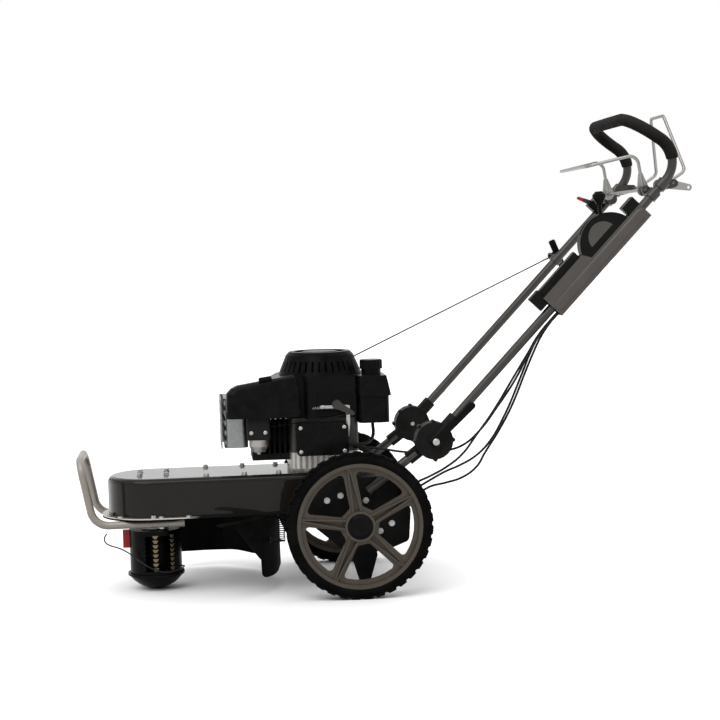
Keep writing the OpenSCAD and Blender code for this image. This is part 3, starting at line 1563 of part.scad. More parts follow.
tyre_left();
tyre_right();
rim_left();
rim_right();
hub_cap_left();
hub_cap_right();
axle();
deck_housing();
deck_base_plate();
head_plate();
chassis_frame();
fasteners();
bumper();
debris_skirt();
skirt_spring();
parking_foot();
spindle_housing();
spindle();
line_drum();
line_clip();
mow_ball();
trimmer_line();
drive_belts();
idler_arm();
gearbox();
gearbox_pulley();
crankshaft();
flywheel();
crankcase();
cylinder_block();
engine_shroud();
recoil_cover();
fuel_tank();
fuel_cap();
air_filter_cover();
carburettor();
muffler();
muffler_guard();
side_cover();
control_bracket();
spark_plug();
fuel_hose();
lower_handle_tubes();
lower_hinge_discs();
upper_hinge_discs();
clamp_lever_left();
clamp_lever_right();
handlebar();
foam_grips();
console();
console_covers();
shift_lever();
throttle_housing();
throttle_lever();
handlebar_brackets();
front_bail();
rear_bail();
starter_grip();
starter_rope();
control_cables();
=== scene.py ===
# Wheeled string trimmer: a petrol engine and a belt-driven line drum on two tall wheels,
# pushed by a folding loop handle. The solids come from the frame, and each section below
# finishes one group of pieces in the order in which the machine is put together.
import math

import bpy
from mathutils import Matrix, Vector


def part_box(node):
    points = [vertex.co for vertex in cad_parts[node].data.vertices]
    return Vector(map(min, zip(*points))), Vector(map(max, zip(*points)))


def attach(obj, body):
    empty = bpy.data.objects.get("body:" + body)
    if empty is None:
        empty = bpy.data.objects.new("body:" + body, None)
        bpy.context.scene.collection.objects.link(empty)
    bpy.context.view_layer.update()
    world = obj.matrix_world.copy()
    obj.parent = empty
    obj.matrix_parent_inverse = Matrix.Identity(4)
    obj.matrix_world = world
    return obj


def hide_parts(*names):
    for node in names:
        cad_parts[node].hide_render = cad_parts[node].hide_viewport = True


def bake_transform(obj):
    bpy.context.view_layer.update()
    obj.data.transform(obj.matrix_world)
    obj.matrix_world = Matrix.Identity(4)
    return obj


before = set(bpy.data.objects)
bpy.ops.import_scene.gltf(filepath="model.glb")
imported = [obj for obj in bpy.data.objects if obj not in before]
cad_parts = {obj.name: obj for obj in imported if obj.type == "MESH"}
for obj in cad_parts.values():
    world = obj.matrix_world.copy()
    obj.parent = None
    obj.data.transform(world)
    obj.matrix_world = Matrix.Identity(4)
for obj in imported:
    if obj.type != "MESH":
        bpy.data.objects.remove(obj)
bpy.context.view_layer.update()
bpy.ops.object.select_all(action="DESELECT")

# Photographer's camera: a long lens low beside the machine's near wheel, tipped a little
# down and a hair out of level, as the picture was taken.
look_at = Vector((-0.0526, 0, 0.5515))
lens_back = 4.25
turn, rise, tilt = math.radians(-5.71), math.radians(3.96), math.radians(-1.52)
ahead = Vector((-math.sin(turn) * math.cos(rise), math.cos(turn) * math.cos(rise), -math.sin(rise)))
across = Vector((math.cos(turn), math.sin(turn), 0))
up = across.cross(ahead)
level_x = math.cos(tilt) * across + math.sin(tilt) * up
level_y = math.cos(tilt) * up - math.sin(tilt) * across
eye = look_at - lens_back * ahead
bpy.ops.object.camera_add(location=eye)
camera = bpy.context.object
camera.name = "side_camera"
camera.matrix_world = Matrix.Translation(eye) @ Matrix((level_x, level_y, -ahead)).transposed().to_4x4()
camera.data.lens = 84.84
camera.data.sensor_width = 36
camera.data.clip_end = 200
bpy.context.scene.camera = camera
bpy.context.scene.view_settings.view_transform = "Standard"


# Studio: a white sweep lit all round, brightest from above and behind, with one broad lamp
# over the engine's near side. The sweep shows white, also in polished pieces.
class Wire:
    """One socket of a node tree. Arithmetic on it adds Math nodes, and node() adds any other node."""

    def __init__(self, tree, socket):
        self.tree = tree
        self.socket = socket

    def node(self, kind, settings, sockets, out=0):
        made = self.tree.nodes.new("ShaderNode" + kind)
        for name, value in settings.items():
            if name == "stops":
                elements = made.color_ramp.elements
                elements[0].position, elements[1].position = value[0][0], value[-1][0]
                for place, _ in value[1:-1]:
                    elements.new(place)
                for element, (_, colour) in zip(elements, value):
                    element.color = (*colour, 1)
            else:
                setattr(made, name, value)
        for name, value in sockets.items():
            if isinstance(value, Wire):
                self.tree.links.new(value.socket, made.inputs[name])
            else:
                made.inputs[name].default_value = value
        return Wire(self.tree, made.outputs[out])

    def maths(self, operation, first, second):
        return self.node("Math", {"operation": operation}, {0: first, 1: second})

    def __add__(self, other):
        return self.maths("ADD", self, other)

    def __radd__(self, other):
        return self.maths("ADD", other, self)

    def __sub__(self, other):
        return self.maths("SUBTRACT", self, other)

    def __rsub__(self, other):
        return self.maths("SUBTRACT", other, self)

    def __mul__(self, other):
        return self.maths("MULTIPLY", self, other)

    def __rmul__(self, other):
        return self.maths("MULTIPLY", other, self)

    def __gt__(self, other):
        return self.maths("GREATER_THAN", self, other)

    def clip(self):
        return self.node("Clamp", {}, {"Value": self})

    def mix(self, first, second):
        return self.node("Mix", {"data_type": "RGBA"}, {0: self, 6: first, 7: second}, 2)


studio = bpy.data.worlds.new("studio")
studio.use_nodes = True
bpy.context.scene.world = studio
sky = Wire(studio.node_tree, studio.node_tree.nodes.new("ShaderNodeTexCoord").outputs["Generated"])
height = sky.node("SeparateXYZ", {}, {"Vector": sky}, 2)
depth = sky.node("SeparateXYZ", {}, {"Vector": sky}, 1)
overhead = height * 0.9 + depth * 0.5
dim, dim_below, bright, bright_above = 0.1, -0.35, 1.4, 0.75
limits = {1: dim_below, 2: bright_above, 3: dim, 4: bright}
soft_box = sky.node("MapRange", {"interpolation_type": "SMOOTHSTEP"}, {0: overhead, **limits})
shown_to = ("Is Camera Ray", "Is Glossy Ray", "Is Transmission Ray")
seen = sum(sky.node("LightPath", {}, {}, ray) for ray in shown_to).clip()
strength = (1 - seen) * soft_box + seen
backdrop = studio.node_tree.nodes["Background"]
studio.node_tree.links.new(strength.socket, backdrop.inputs["Strength"])
backdrop.inputs["Color"].default_value = (1, 1, 1, 1)
bpy.ops.object.light_add(type="SUN", rotation=(math.radians(32), math.radians(-22), 0))
lamp = bpy.context.object
lamp.name = "broad_lamp"
lamp.data.energy = 1.3
lamp.data.angle = math.radians(45)

bpy.ops.mesh.primitive_circle_add(vertices=96, radius=60, fill_type="NGON")
floor = bpy.context.object
floor.name = "floor"
sweep = bpy.data.materials.new("white_sweep")
sweep.use_nodes = True
sweep_shader = sweep.node_tree.nodes["Principled BSDF"]
sweep_nodes = Wire(sweep.node_tree, None)
looked_at = sum(sweep_nodes.node("LightPath", {}, {}, ray) for ray in shown_to).clip()
sweep_tone = looked_at.mix((0.16, 0.16, 0.16, 1), (0.93, 0.93, 0.93, 1))
sweep.node_tree.links.new(sweep_tone.socket, sweep_shader.inputs["Base Color"])
sweep_shader.inputs["Roughness"].default_value = 0.9
sweep_shader.inputs["Specular IOR Level"].default_value = 0
floor.data.materials.append(sweep)


# Free trimmer line: a cut length of thick nylon monofilament held by the red clip. It runs
# across the drum's near side and out in front, and its end is cut square.
def surface(name, fixed, varying):
    """A material whose even values sit on the shader, and whose varying ones come from Object coordinates."""
    material = bpy.data.materials.new(name)
    material.use_nodes = True
    tree = material.node_tree
    shader = tree.nodes["Principled BSDF"]
    for socket, value in fixed.items():
        shader.inputs[socket].default_value = value
    at = Wire(tree, tree.nodes.new("ShaderNodeTexCoord").outputs["Object"])
    for socket, wire in varying(at).items():
        tree.links.new(wire.socket, shader.inputs[socket])
    return material


def dress(material, *names):
    for name in names:
        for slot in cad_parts[name].material_slots:
            slot.material = material


def noise(at, scale, detail=3, rough=0.5):
    return at.node("TexNoise", {}, {"Vector": at, "Scale": scale, "Detail": detail, "Roughness": rough})


def bump(at, height, distance, strength=1):
    return at.node("Bump", {}, {"Strength": strength, "Distance": distance, "Height": height})


mm = 0.001
part_x, drum_x = -88.375, -488
line_d, curve_share = 3.4 * mm, 1.01


def route(points, shift=0):
    return [Vector((x + shift + part_x, y, z)) * mm for x, y, z in points]


def lay_curve(name, points, radius, swell=None):
    curve = bpy.data.curves.new(name, "CURVE")
    curve.dimensions = "3D"
    curve.bevel_depth = radius
    curve.bevel_resolution = 5
    curve.resolution_u = 8
    curve.use_fill_caps = True
    spline = curve.splines.new("BEZIER")
    spline.bezier_points.add(len(points) - 1)
    for i, (knot, point) in enumerate(zip(spline.bezier_points, points)):
        knot.co = point
        knot.handle_left_type = knot.handle_right_type = "AUTO"
        knot.radius = swell[i] if swell else 1
    cord = bpy.data.objects.new(name, curve)
    bpy.context.scene.collection.objects.link(cord)
    return cord


def nylon_finish(at):
    scuffs = noise(at, 260, 5, 0.65)
    return {
        "Base Color": (scuffs * 1.4 - 0.3).clip().mix((0.012, 0.012, 0.013, 1), (0.05, 0.048, 0.045, 1)),
        "Roughness": 0.22 + scuffs * 0.25,
        "Normal": bump(at, scuffs, 0.0002),
    }


nylon = surface("nylon_line", {"Specular IOR Level": 0.15}, nylon_finish)
line_route = route([
    (61, -20, 56), (67, -22, 56), (69, -27, 56), (66, -36, 54), (56, -48, 52), (42, -59, 50),
    (24, -67, 50), (4, -70, 55), (-16, -68, 64), (-36, -62, 77), (-54, -54, 90), (-72, -47, 102),
    (-92, -42, 111), (-110, -39, 117), (-121, -37, 124), (-124, -36, 134), (-118, -34, 146),
], drum_x)
line = lay_curve("cutting_line", line_route, line_d / 2)
line.data.materials.append(nylon)
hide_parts("trimmer_line")
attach(line, "trimmer_head")


# Control cables: four black sheathed wires from under the console, tied loosely down the left
# tube and led to the gearbox, idler and governor.
def smooth(degrees=40):
    bpy.ops.object.shade_smooth_by_angle(angle=math.radians(degrees))


def to_mesh(piece):
    bpy.ops.object.select_all(action="DESELECT")
    piece.select_set(True)
    bpy.context.view_layer.objects.active = piece
    bpy.ops.object.convert(target="MESH")
    smooth()
    return bpy.context.object


def sheath_finish(at):
    rub = noise(at, 90, 4)
    return {
        "Base Color": rub.mix((0.006, 0.006, 0.006, 1), (0.022, 0.021, 0.02, 1)),
        "Roughness": 0.34 + rub * 0.3,
        "Normal": bump(at, noise(at, 700), 0.0002),
    }


sheath = surface("cable_sheath", {"Specular IOR Level": 0.12}, sheath_finish)
cable_routes = {
    "clutch_cable": [
        (508, -222, 677), (486, -222, 655), (447, -220, 612), (418, -217, 568), (386, -215, 517),
        (330, -213, 429), (291, -212, 377), (254, -211, 330), (217, -209, 302), (180, -205, 282),
        (145, -198, 266), (120, -191, 252), (108, -186, 247), (106, -183, 246), (106, -180, 246),
        (106, -177, 246),
    ],
    "throttle_cable": [
        (508, -206, 677), (486, -206, 655), (447, -205, 610), (420, -203, 564), (399, -200, 520),
        (345, -196, 440), (300, -190, 382), (263, -180, 350), (223, -166, 336), (180, -158, 333),
        (124, -146, 334), (67, -124, 342), (30, -109, 345), (10, -104, 345), (6, -101, 345),
        (6, -98, 345), (6, -95, 345),
    ],
    "shift_cable": [
        (508, -214, 677), (486, -214, 655), (450, -213, 614), (426, -211, 570), (406, -209, 522),
        (357, -208, 414), (320, -207, 355), (288, -206, 325), (250, -204, 304), (215, -202, 290),
        (181, -199, 272), (142, -194, 250), (114, -188, 235), (102, -185, 230), (100, -183, 229),
        (100, -180, 229), (100, -177, 229),
    ],
    "drive_cable": [
        (508, -198, 677), (488, -198, 652), (456, -198, 608), (436, -197, 568), (421, -196, 534),
        (379, -195, 437), (349, -195, 384), (314, -196, 332), (292, -197, 298), (257, -198, 274),
        (215, -198, 262), (178, -196, 254), (148, -192, 236), (122, -187, 218), (110, -185, 211),
        (108, -183, 210), (108, -180, 210), (108, -177, 210),
    ],
}
cable_r = 2.75 * mm
fold_low, fold_high = route([(236, -205, 312), (330, -210, 430)])
for name, points in cable_routes.items():
    cable = to_mesh(lay_curve(name, route(points), cable_r))
    cable.data.materials.append(sheath)
    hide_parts("control_cables")
    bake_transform(cable)

# Starter rope: plaited cord drawn tight from the recoil cover up to the eye on the far tube,
# and a short tail from the eye into the grip.
rope_start, rope_eye = route([(20, 0, 562), (576.5, 232, 793.8)])
rope_way = (rope_eye - rope_start).normalized()
rope_r, tail_l, plait_l = 1.75 * mm, 12 * mm, 2.2 * mm


def plait_finish(at):
    along = at.node("VectorMath", {"operation": "DOT_PRODUCT"}, {0: at, 1: rope_way}, 1)
    strands = at.node("Math", {"operation": "PINGPONG"}, {0: along, 1: plait_l}) * (0.99 / plait_l)
    lay = (strands * 0.7 + noise(at, 300) * 0.3).clip()
    return {
        "Base Color": lay.mix((0.01, 0.01, 0.011, 1), (0.05, 0.05, 0.052, 1)),
        "Roughness": 0.6 + strands * 0.2,
        "Normal": bump(at, strands, 0.0004),
    }


plait = surface("plaited_cord", {}, plait_finish)
rope = to_mesh(lay_curve("pull_rope", [rope_start.lerp(rope_eye, k / 24) for k in range(25)], rope_r))
rope.data.materials.append(plait)
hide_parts("starter_rope")
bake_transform(rope)
tail_end = rope_eye + rope_way * tail_l
tail = to_mesh(lay_curve("pull_rope_tail", [rope_eye.lerp(tail_end, k / 6) for k in range(7)], rope_r))
tail.data.materials.append(plait)
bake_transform(tail)

# Fuel hose: thick black rubber pushed on the tank's spigot, which hangs in a short curl and
# turns forward to the carburettor.
hose_r = 4 * mm
hose_route = route([
    (56, -70, 405), (56, -70, 401), (56, -70, 394), (57, -72, 380), (54, -80, 367), (45, -92, 358),
    (30, -104, 354), (14, -111, 353), (2, -112, 353), (-5, -112, 353), (-11, -112, 353),
])
hose = to_mesh(lay_curve("rubber_hose", hose_route, hose_r))
hose.data.materials.append(sheath)
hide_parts("fuel_hose")
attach(hose, "chassis")


# Tyres: black treaded rubber, moulded with fine ribs on the walls and dulled by dust where
# the tread meets the ground.
def rubber_finish(at):
    grain = noise(at, 1100, 2)
    dust = noise(at, 16, 6, 0.7)
    return {
        "Base Color": (dust * 2.2 - 0.9).clip().mix((0.003, 0.003, 0.003, 1), (0.014, 0.0133, 0.0125, 1)),
        "Roughness": 0.58 + dust * 0.3,
        "Normal": bump(at, grain, 0.0003),
    }


rubber = surface("tyre_rubber", {"Specular IOR Level": 0.03}, rubber_finish)
dress(rubber, "tyre_left", "tyre_right")


# Rims: moulded plastic with a warm metallic flake in it, a little rough from the mould and
# scuffed paler on the raised spokes.
def flake_finish(at):
    flake = at.node("TexVoronoi", {"feature": "F1"}, {"Vector": at, "Scale": 1400}, 1)
    sparkle = at.node("SeparateColor", {}, {"Color": flake})
    scuff = noise(at, 34, 6, 0.68)
    tone = ((scuff * 2 - 0.75).clip() * 0.5 + sparkle * 0.35).clip()
    return {
        "Base Color": tone.mix((0.075, 0.063, 0.051, 1), (0.13, 0.112, 0.094, 1)),
        "Roughness": 0.36 + scuff * 0.22,
        "Normal": bump(at, noise(at, 520, 2), 0.0002),
    }


flake_plastic = surface("flake_plastic", {"Metallic": 0.45, "Specular IOR Level": 0.1}, flake_finish)
dress(flake_plastic, "rim_left", "rim_right")


# Axle, shafts and fasteners: zinc-plated steel, bright, with faint rainbow blotches and the
# fine turning marks of the bar.
def zinc_finish(at):
    blotch = noise(at, 60, 5)
    marks = noise(at, 900, 2)
    return {
        "Base Color": blotch.mix((0.36, 0.355, 0.333, 1), (0.48, 0.48, 0.48, 1)),
        "Roughness": 0.2 + blotch * 0.25,
        "Normal": bump(at, marks, 0.0001),
    }


zinc = surface("zinc_steel", {"Metallic": 0.72}, zinc_finish)
dress(zinc, "axle", "fasteners", "crankshaft", "spindle")


# Deck: pressed steel housing over the belts, sprayed in a deep brown-grey gloss that shows a
# slight orange peel and a film of dust on top.
def deck_finish(at):
    peel = noise(at, 260, 2)
    film = noise(at, 9, 5, 0.6)
    return {
        "Base Color": film.mix((0.01, 0.0075, 0.006, 1), (0.016, 0.0123, 0.0102, 1)),
        "Roughness": 0.2 + film * 0.16,
        "Normal": bump(at, peel, 0.0001, 0.4),
    }


lacquer = {"Specular IOR Level": 0.06, "Coat Weight": 1.0, "Coat Roughness": 0.04, "Coat IOR": 1.22}
deck_gloss = surface("deck_gloss", lacquer, deck_finish)
dress(deck_gloss, "deck_housing")


# Frame and plates: welded steel in black chassis paint, satin, with paler rubs where dirt has
# dried on it.
def chassis_finish(at):
    rub = noise(at, 22, 6, 0.66)
    return {
        "Base Color": (rub * 2 - 0.8).clip().mix((0.009, 0.009, 0.009, 1), (0.03, 0.027, 0.024, 1)),
        "Roughness": 0.36 + rub * 0.3,
        "Normal": bump(at, noise(at, 320, 3), 0.0002),
    }


chassis_paint = surface("chassis_paint", {"Specular IOR Level": 0.07}, chassis_finish)
dress(chassis_paint, "chassis_frame", "parking_foot", "idler_arm", "gearbox_pulley")


# Bumper: one length of bent steel tube in warm grey paint, clamped under the base plate and
# worn to bare metal in small chips.
def bumper_finish(at):
    film = noise(at, 30, 5, 0.6)
    chips = noise(at, 210, 4, 0.7) > 0.71
    paint = film.mix((0.26, 0.232, 0.204, 1), (0.37, 0.333, 0.296, 1))
    return {
        "Base Color": chips.mix(paint, (0.4, 0.39, 0.37, 1)),
        "Roughness": 0.3 + film * 0.2,
        "Metallic": 0.35 + chips * 0.5,
        "Normal": bump(at, noise(at, 300, 2) - chips * 0.6, 0.0002),
    }


bumper_paint = surface("bumper_paint", {}, bumper_finish)
dress(bumper_paint, "bumper")


# Base plate: rolled sheet under the deck's lip, painted black, with its nose ahead of the drum
# scoured bright by the ground.
nose_x, nose_fade = -0.47143, 28


def plate_finish(at):
    roll = noise(at.node("Mapping", {}, {"Vector": at, "Scale": (12, 300, 300)}), 1, 4)
    along = at.node("SeparateXYZ", {}, {"Vector": at}, 0)
    bare = ((nose_x - along) * nose_fade + roll * 0.5).clip()
    steel = roll.mix((0.34, 0.33, 0.31, 1), (0.54, 0.525, 0.5, 1))
    return {
        "Base Color": bare.mix((0.008, 0.0075, 0.007, 1), steel),
        "Roughness": 0.22 + roll * 0.2,
        "Metallic": bare * 0.9,
        "Normal": bump(at, roll, 0.0001),
    }


dress(surface("rolled_plate", {"Specular IOR Level": 0.05}, plate_finish), "deck_base_plate")


# Debris skirt: a curtain of black sheet rubber screwed under the deck, matt, with pale scuffs
# towards its lower edge.
def curtain_finish(at):
    scuff = noise(at, 26, 7, 0.72)
    return {
        "Base Color": (scuff * 2.4 - 1.1).clip().mix((0.002, 0.002, 0.002, 1), (0.012, 0.0113, 0.0105, 1)),
        "Roughness": 0.5 + scuff * 0.3,
        "Normal": bump(at, noise(at, 380, 4), 0.0004),
    }


curtain = surface("sheet_rubber", {"Specular IOR Level": 0.03}, curtain_finish)
dress(curtain, "drive_belts", "head_plate")
skirt_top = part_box("debris_skirt")[1].z
skirt_low, skirt_r, skirt_t, least_h = 0.042, 0.308, 0.004, 0.0005
flap_x, flap_z, flap_top_x, flap_turn, flap_round = 0.259, 0.088, 0.188, 0.06, 0.018
near_turn, far_turn, wing_x = -math.acos(flap_top_x / skirt_r), math.radians(56), 0.056
ripple_h, ripple_rate, wave_out, wave_rate, wave_start = 0.0018, 17, 0.0035, 42, 0.6
drum_axis = Vector((drum_x + part_x, 0, 0)) * mm


def skirt_edge(turn):
    reach = skirt_r * math.cos(turn)
    ripple = ripple_h * (1 + math.sin(turn * ripple_rate))
    if turn < 0 and reach < flap_x:
        return flap_z + (skirt_top - flap_z) * (flap_x - reach) / (flap_x - flap_top_x)
    corner = turn + math.acos(flap_x / skirt_r)
    if 0 <= corner < flap_turn:
        return skirt_low + flap_round * (1 - math.sqrt(1 - (1 - corner / flap_turn) ** 2)) + ripple
    return skirt_low + ripple


bpy.ops.object.select_all(action="DESELECT")
bpy.ops.mesh.primitive_grid_add(x_subdivisions=220, y_subdivisions=14, size=1)
skirt = bpy.context.object
skirt.name = "rubber_skirt"
arc_l = skirt_r * (far_turn - near_turn)
wing_l = skirt_r * math.cos(far_turn) - wing_x
for corner in skirt.data.vertices:
    run = (arc_l + wing_l) * (corner.co.x + 0.5)
    turn = near_turn + min(run, arc_l) / skirt_r
    drop = 0.5 - corner.co.y
    edge = min(skirt_edge(turn), skirt_top - least_h)
    out = skirt_r + wave_out * drop * drop * math.sin(run * wave_rate + wave_start)
    on_wing = max(run - arc_l, 0)
    hang_z = skirt_top - drop * (skirt_top - edge)
    corner.co = drum_axis + Vector((out * math.cos(turn) - on_wing, out * math.sin(turn), hang_z))
thick = skirt.modifiers.new("sheet", "SOLIDIFY")
thick.thickness = skirt_t
thick.offset = 0
bpy.ops.object.modifier_apply(modifier="sheet")
smooth()
skirt.data.materials.append(curtain)
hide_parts("debris_skirt")
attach(skirt, "chassis")

# Skirt spring: a wound wire that pulls the rear flap back, hooked between deck and curtain
# and dipped in the same black paint as the frame.
spring_turn, spring_out, spring_low, spring_h = math.radians(-26), 343, 134, 52
coil_r, coil_turns, coil_steps, coil_wire_r = 7, 11, 12, 1.1 * mm
coil_x = drum_x + spring_out * math.cos(spring_turn)
coil_y = spring_out * math.sin(spring_turn)
coil_points = []
for k in range(coil_turns * coil_steps + 1):
    angle = 2 * math.pi * k / coil_steps
    coil_z = spring_low + spring_h * k / (coil_turns * coil_steps)
    coil_points.append((coil_x + coil_r * math.cos(angle), coil_y + coil_r * math.sin(angle), coil_z))
spring = to_mesh(lay_curve("flap_spring", route(coil_points), coil_wire_r))
spring.data.materials.append(chassis_paint)
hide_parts("skirt_spring")
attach(spring, "chassis")


# Spring peg: a painted pin through the curtain, with a washer against the rubber and a grooved
# end that holds the spring's lower loop.
def select_faces(piece, wanted):
    bpy.ops.object.mode_set(mode="EDIT")
    bpy.context.tool_settings.mesh_select_mode = (False, False, True)
    bpy.ops.mesh.select_all(action="DESELECT")
    bpy.ops.object.mode_set(mode="OBJECT")
    for face in piece.data.polygons:
        face.select = wanted(face)
    bpy.ops.object.mode_set(mode="EDIT")


def faces_up(face):
    return face.normal.z > 0.9


def start_round(sides, radius, depth, lift=0):
    bpy.ops.object.select_all(action="DESELECT")
    bpy.ops.mesh.primitive_cylinder_add(vertices=sides, radius=radius, depth=depth, location=(0, 0, lift))
    bpy.ops.object.transform_apply(location=True, rotation=True, scale=True)
    return bpy.context.object


def extrude(x, y, z):
    bpy.ops.mesh.extrude_region_move(TRANSFORM_OT_translate={"value": (x, y, z)})


def settle(piece, name, point, axis=(0, 0, 1)):
    """Puts a piece made at the origin, standing on +Z, at its place with its Z along axis, in its mesh."""
    piece.name = name
    turned = Vector((0, 0, 1)).rotation_difference(Vector(axis)).to_matrix().to_4x4()
    piece.data.transform(Matrix.Translation(point) @ turned)
    piece.data.update()


washer_r, washer_t, pin_in, pin_l = 0.0075, 0.002, 0.004, 0.028
groove_in, groove_l, knob_l, peg_z = 0.0008, 0.004, 0.006, 0.1305
peg = start_round(24, washer_r, washer_t, washer_t / 2 + skirt_t / 2)
select_faces(peg, faces_up)
bpy.ops.mesh.inset(thickness=pin_in)
extrude(0, 0, pin_l)
bpy.ops.mesh.inset(thickness=groove_in)
extrude(0, 0, groove_l)
bpy.ops.mesh.inset(thickness=-2 * groove_in)
extrude(0, 0, knob_l)
bpy.ops.object.mode_set(mode="OBJECT")
peg_way = Vector((math.cos(spring_turn), math.sin(spring_turn), 0))
settle(peg, "spring_peg", drum_axis + peg_way * skirt_r + Vector((0, 0, peg_z)), peg_way)
smooth()
peg.data.materials.append(chassis_paint)
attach(peg, "chassis")


# Line drum and mow ball: glass-filled black nylon, moulded, with a soft shine and rubbed by
# grass. The hub caps, clipped into the rims, are the same moulding.
def moulding_finish(at):
    grain = noise(at, 620, 3)
    rub = noise(at, 40, 5, 0.62)
    return {
        "Base Color": (rub * 1.8 - 0.7).clip().mix((0.0045, 0.0045, 0.0045, 1), (0.014, 0.0135, 0.013, 1)),
        "Roughness": 0.1 + rub * 0.3,
        "Normal": bump(at, grain, 0.0001, 0.4),
    }


moulding = surface("black_moulding", {"Specular IOR Level": 0.05}, moulding_finish)
matt_moulding = surface("matt_moulding", {"Specular IOR Level": 0.02}, moulding_finish)
dress(moulding, "line_drum", "mow_ball", "hub_cap_left", "hub_cap_right")


# Drum teeth: two strips of yellow-plated saw teeth that grip the line, wrapped on the drum's
# skin, one on the post between the slots and one along the far slot's edge.
def plated_finish(at):
    haze = noise(at, 160, 4, 0.6)
    return {
        "Base Color": haze.mix((0.09, 0.07, 0.04, 1), (0.25, 0.2, 0.125, 1)),
        "Roughness": 0.22 + haze * 0.22,
        "Normal": bump(at, noise(at, 700, 2), 0.0001),
    }


plated = surface("yellow_plate", {"Metallic": 0.9}, plated_finish)
drum_r, tooth_rise, tooth_low, tooth_rows = 0.064, 0.0115, 0.05, 8
tooth_t, tooth_h_share, tooth_round, tip_w_share, tip_t_share = 0.003, 0.7, 0.0007, 0.42, 0.5


def start_box(length, breadth, height, lift=0):
    bpy.ops.object.select_all(action="DESELECT")
    bpy.ops.mesh.primitive_cube_add(size=1, location=(0, 0, lift))
    box = bpy.context.object
    box.scale = (length, breadth, height)
    bpy.ops.object.transform_apply(location=True, rotation=True, scale=True)
    return box


def round_edges(piece, width, segments=2, least_angle=30):
    soft = piece.modifiers.new("edges", "BEVEL")
    soft.width = width
    soft.segments = segments
    soft.limit_method = "ANGLE"
    soft.angle_limit = math.radians(least_angle)
    bpy.ops.object.modifier_apply(modifier="edges")


for name, middle, width in (("tooth_strip_post", 0.001, 0.015), ("tooth_strip_edge", 0.0415, 0.011)):
    strip = start_box(width, tooth_t, tooth_rise * tooth_h_share)
    strip.name = name
    select_faces(strip, lambda face: face.normal.z < -0.9)
    bpy.ops.transform.resize(value=(tip_w_share, tip_t_share, 1))
    bpy.ops.mesh.select_all(action="SELECT")
    bpy.ops.mesh.subdivide(number_cuts=2)
    bpy.ops.object.mode_set(mode="OBJECT")
    round_edges(strip, tooth_round)
    stack = strip.modifiers.new("rows", "ARRAY")
    stack.count = tooth_rows
    stack.use_relative_offset = False
    stack.use_constant_offset = True
    stack.constant_offset_displace = (0, 0, tooth_rise)
    bpy.ops.object.modifier_apply(modifier="rows")
    for corner in strip.data.vertices:
        across_drum = middle + corner.co.x
        skin = math.sqrt(drum_r * drum_r - across_drum * across_drum)
        tooth_z = corner.co.z + tooth_low + tooth_rise / 2
        corner.co = drum_axis + Vector((across_drum, corner.co.y - skin, tooth_z))
    smooth()
    strip.data.materials.append(plated)
    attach(strip, "trimmer_head")


# Drum sleeve: a moulded tube round the hub inside the drum, held between floor and lid and
# seen dark through the slots.
sleeve_r, sleeve_t, sleeve_round, sleeve_low, sleeve_high = 0.04, 0.003, 0.0006, 0.0505, 0.1415
sleeve = start_round(48, sleeve_r, sleeve_high - sleeve_low)
select_faces(sleeve, lambda face: abs(face.normal.z) > 0.9)
bpy.ops.mesh.delete(type="ONLY_FACE")
bpy.ops.object.mode_set(mode="OBJECT")
wall = sleeve.modifiers.new("wall", "SOLIDIFY")
wall.thickness = sleeve_t
bpy.ops.object.modifier_apply(modifier="wall")
round_edges(sleeve, sleeve_round)
settle(sleeve, "drum_sleeve", drum_axis + Vector((0, 0, (sleeve_low + sleeve_high) / 2)))
smooth()
sleeve.data.materials.append(matt_moulding)
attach(sleeve, "trimmer_head")


# Line clip: red moulded plastic, slightly faded and scratched, pressed on the drum's front to
# hold the cut line.
def red_finish(at):
    fade = noise(at, 48, 5, 0.6)
    return {
        "Base Color": fade.mix((0.62, 0.014, 0.022, 1), (0.76, 0.04, 0.045, 1)),
        "Roughness": 0.32 + fade * 0.2,
        "Normal": bump(at, noise(at, 520, 2), 0.0002),
    }


red_plastic = surface("red_plastic", {}, red_finish)
dress(red_plastic, "line_clip")


# Crankcase, gearbox and spindle housing: die-cast aluminium, grainy and grey. The crankcase carries
# a dark tone above its flange, painted shade for the shroud's shadow, and is left bare below.
def casting_finish(at):
    grain = noise(at, 420, 5, 0.7)
    stain = noise(at, 18, 5, 0.6)
    return {
        "Base Color": stain.mix((0.32, 0.3, 0.27, 1), (0.52, 0.49, 0.45, 1)),
        "Roughness": 0.38 + grain * 0.28,
        "Normal": bump(at, grain, 0.0005, 0.8),
    }


casting = surface("cast_aluminium", {"Metallic": 0.9}, casting_finish)
dress(casting, "gearbox", "spindle_housing", "flywheel")
case_split, rib_w = 0.336, 0.007


def case_finish(at):
    # Above case_split the crankcase is coloured dark as painted shade from the shroud; below it the casting
    # is bare.
    dark_tone = at.node("SeparateXYZ", {}, {"Vector": at}, 2) > case_split
    grain = noise(at, 420, 5, 0.7)
    stain = noise(at, 18, 5, 0.6)
    bare = stain.mix((0.5, 0.48, 0.44, 1), (0.74, 0.71, 0.66, 1))
    along = at.node("SeparateXYZ", {}, {"Vector": at}, 0)
    ribs = at.node("Math", {"operation": "PINGPONG"}, {0: along, 1: rib_w}) * (0.98 / rib_w)
    return {
        "Base Color": dark_tone.mix(bare, stain.mix((0.03, 0.029, 0.027, 1), (0.07, 0.067, 0.063, 1))),
        "Roughness": 0.28 + grain * 0.24 + dark_tone * 0.1,
        "Metallic": 0.4 + dark_tone * 0.15,
        "Normal": bump(at, grain * 0.2 + ribs * (1 - dark_tone), 0.0025, 0.7),
    }


dress(surface("crankcase_casting", {}, case_finish), "crankcase")


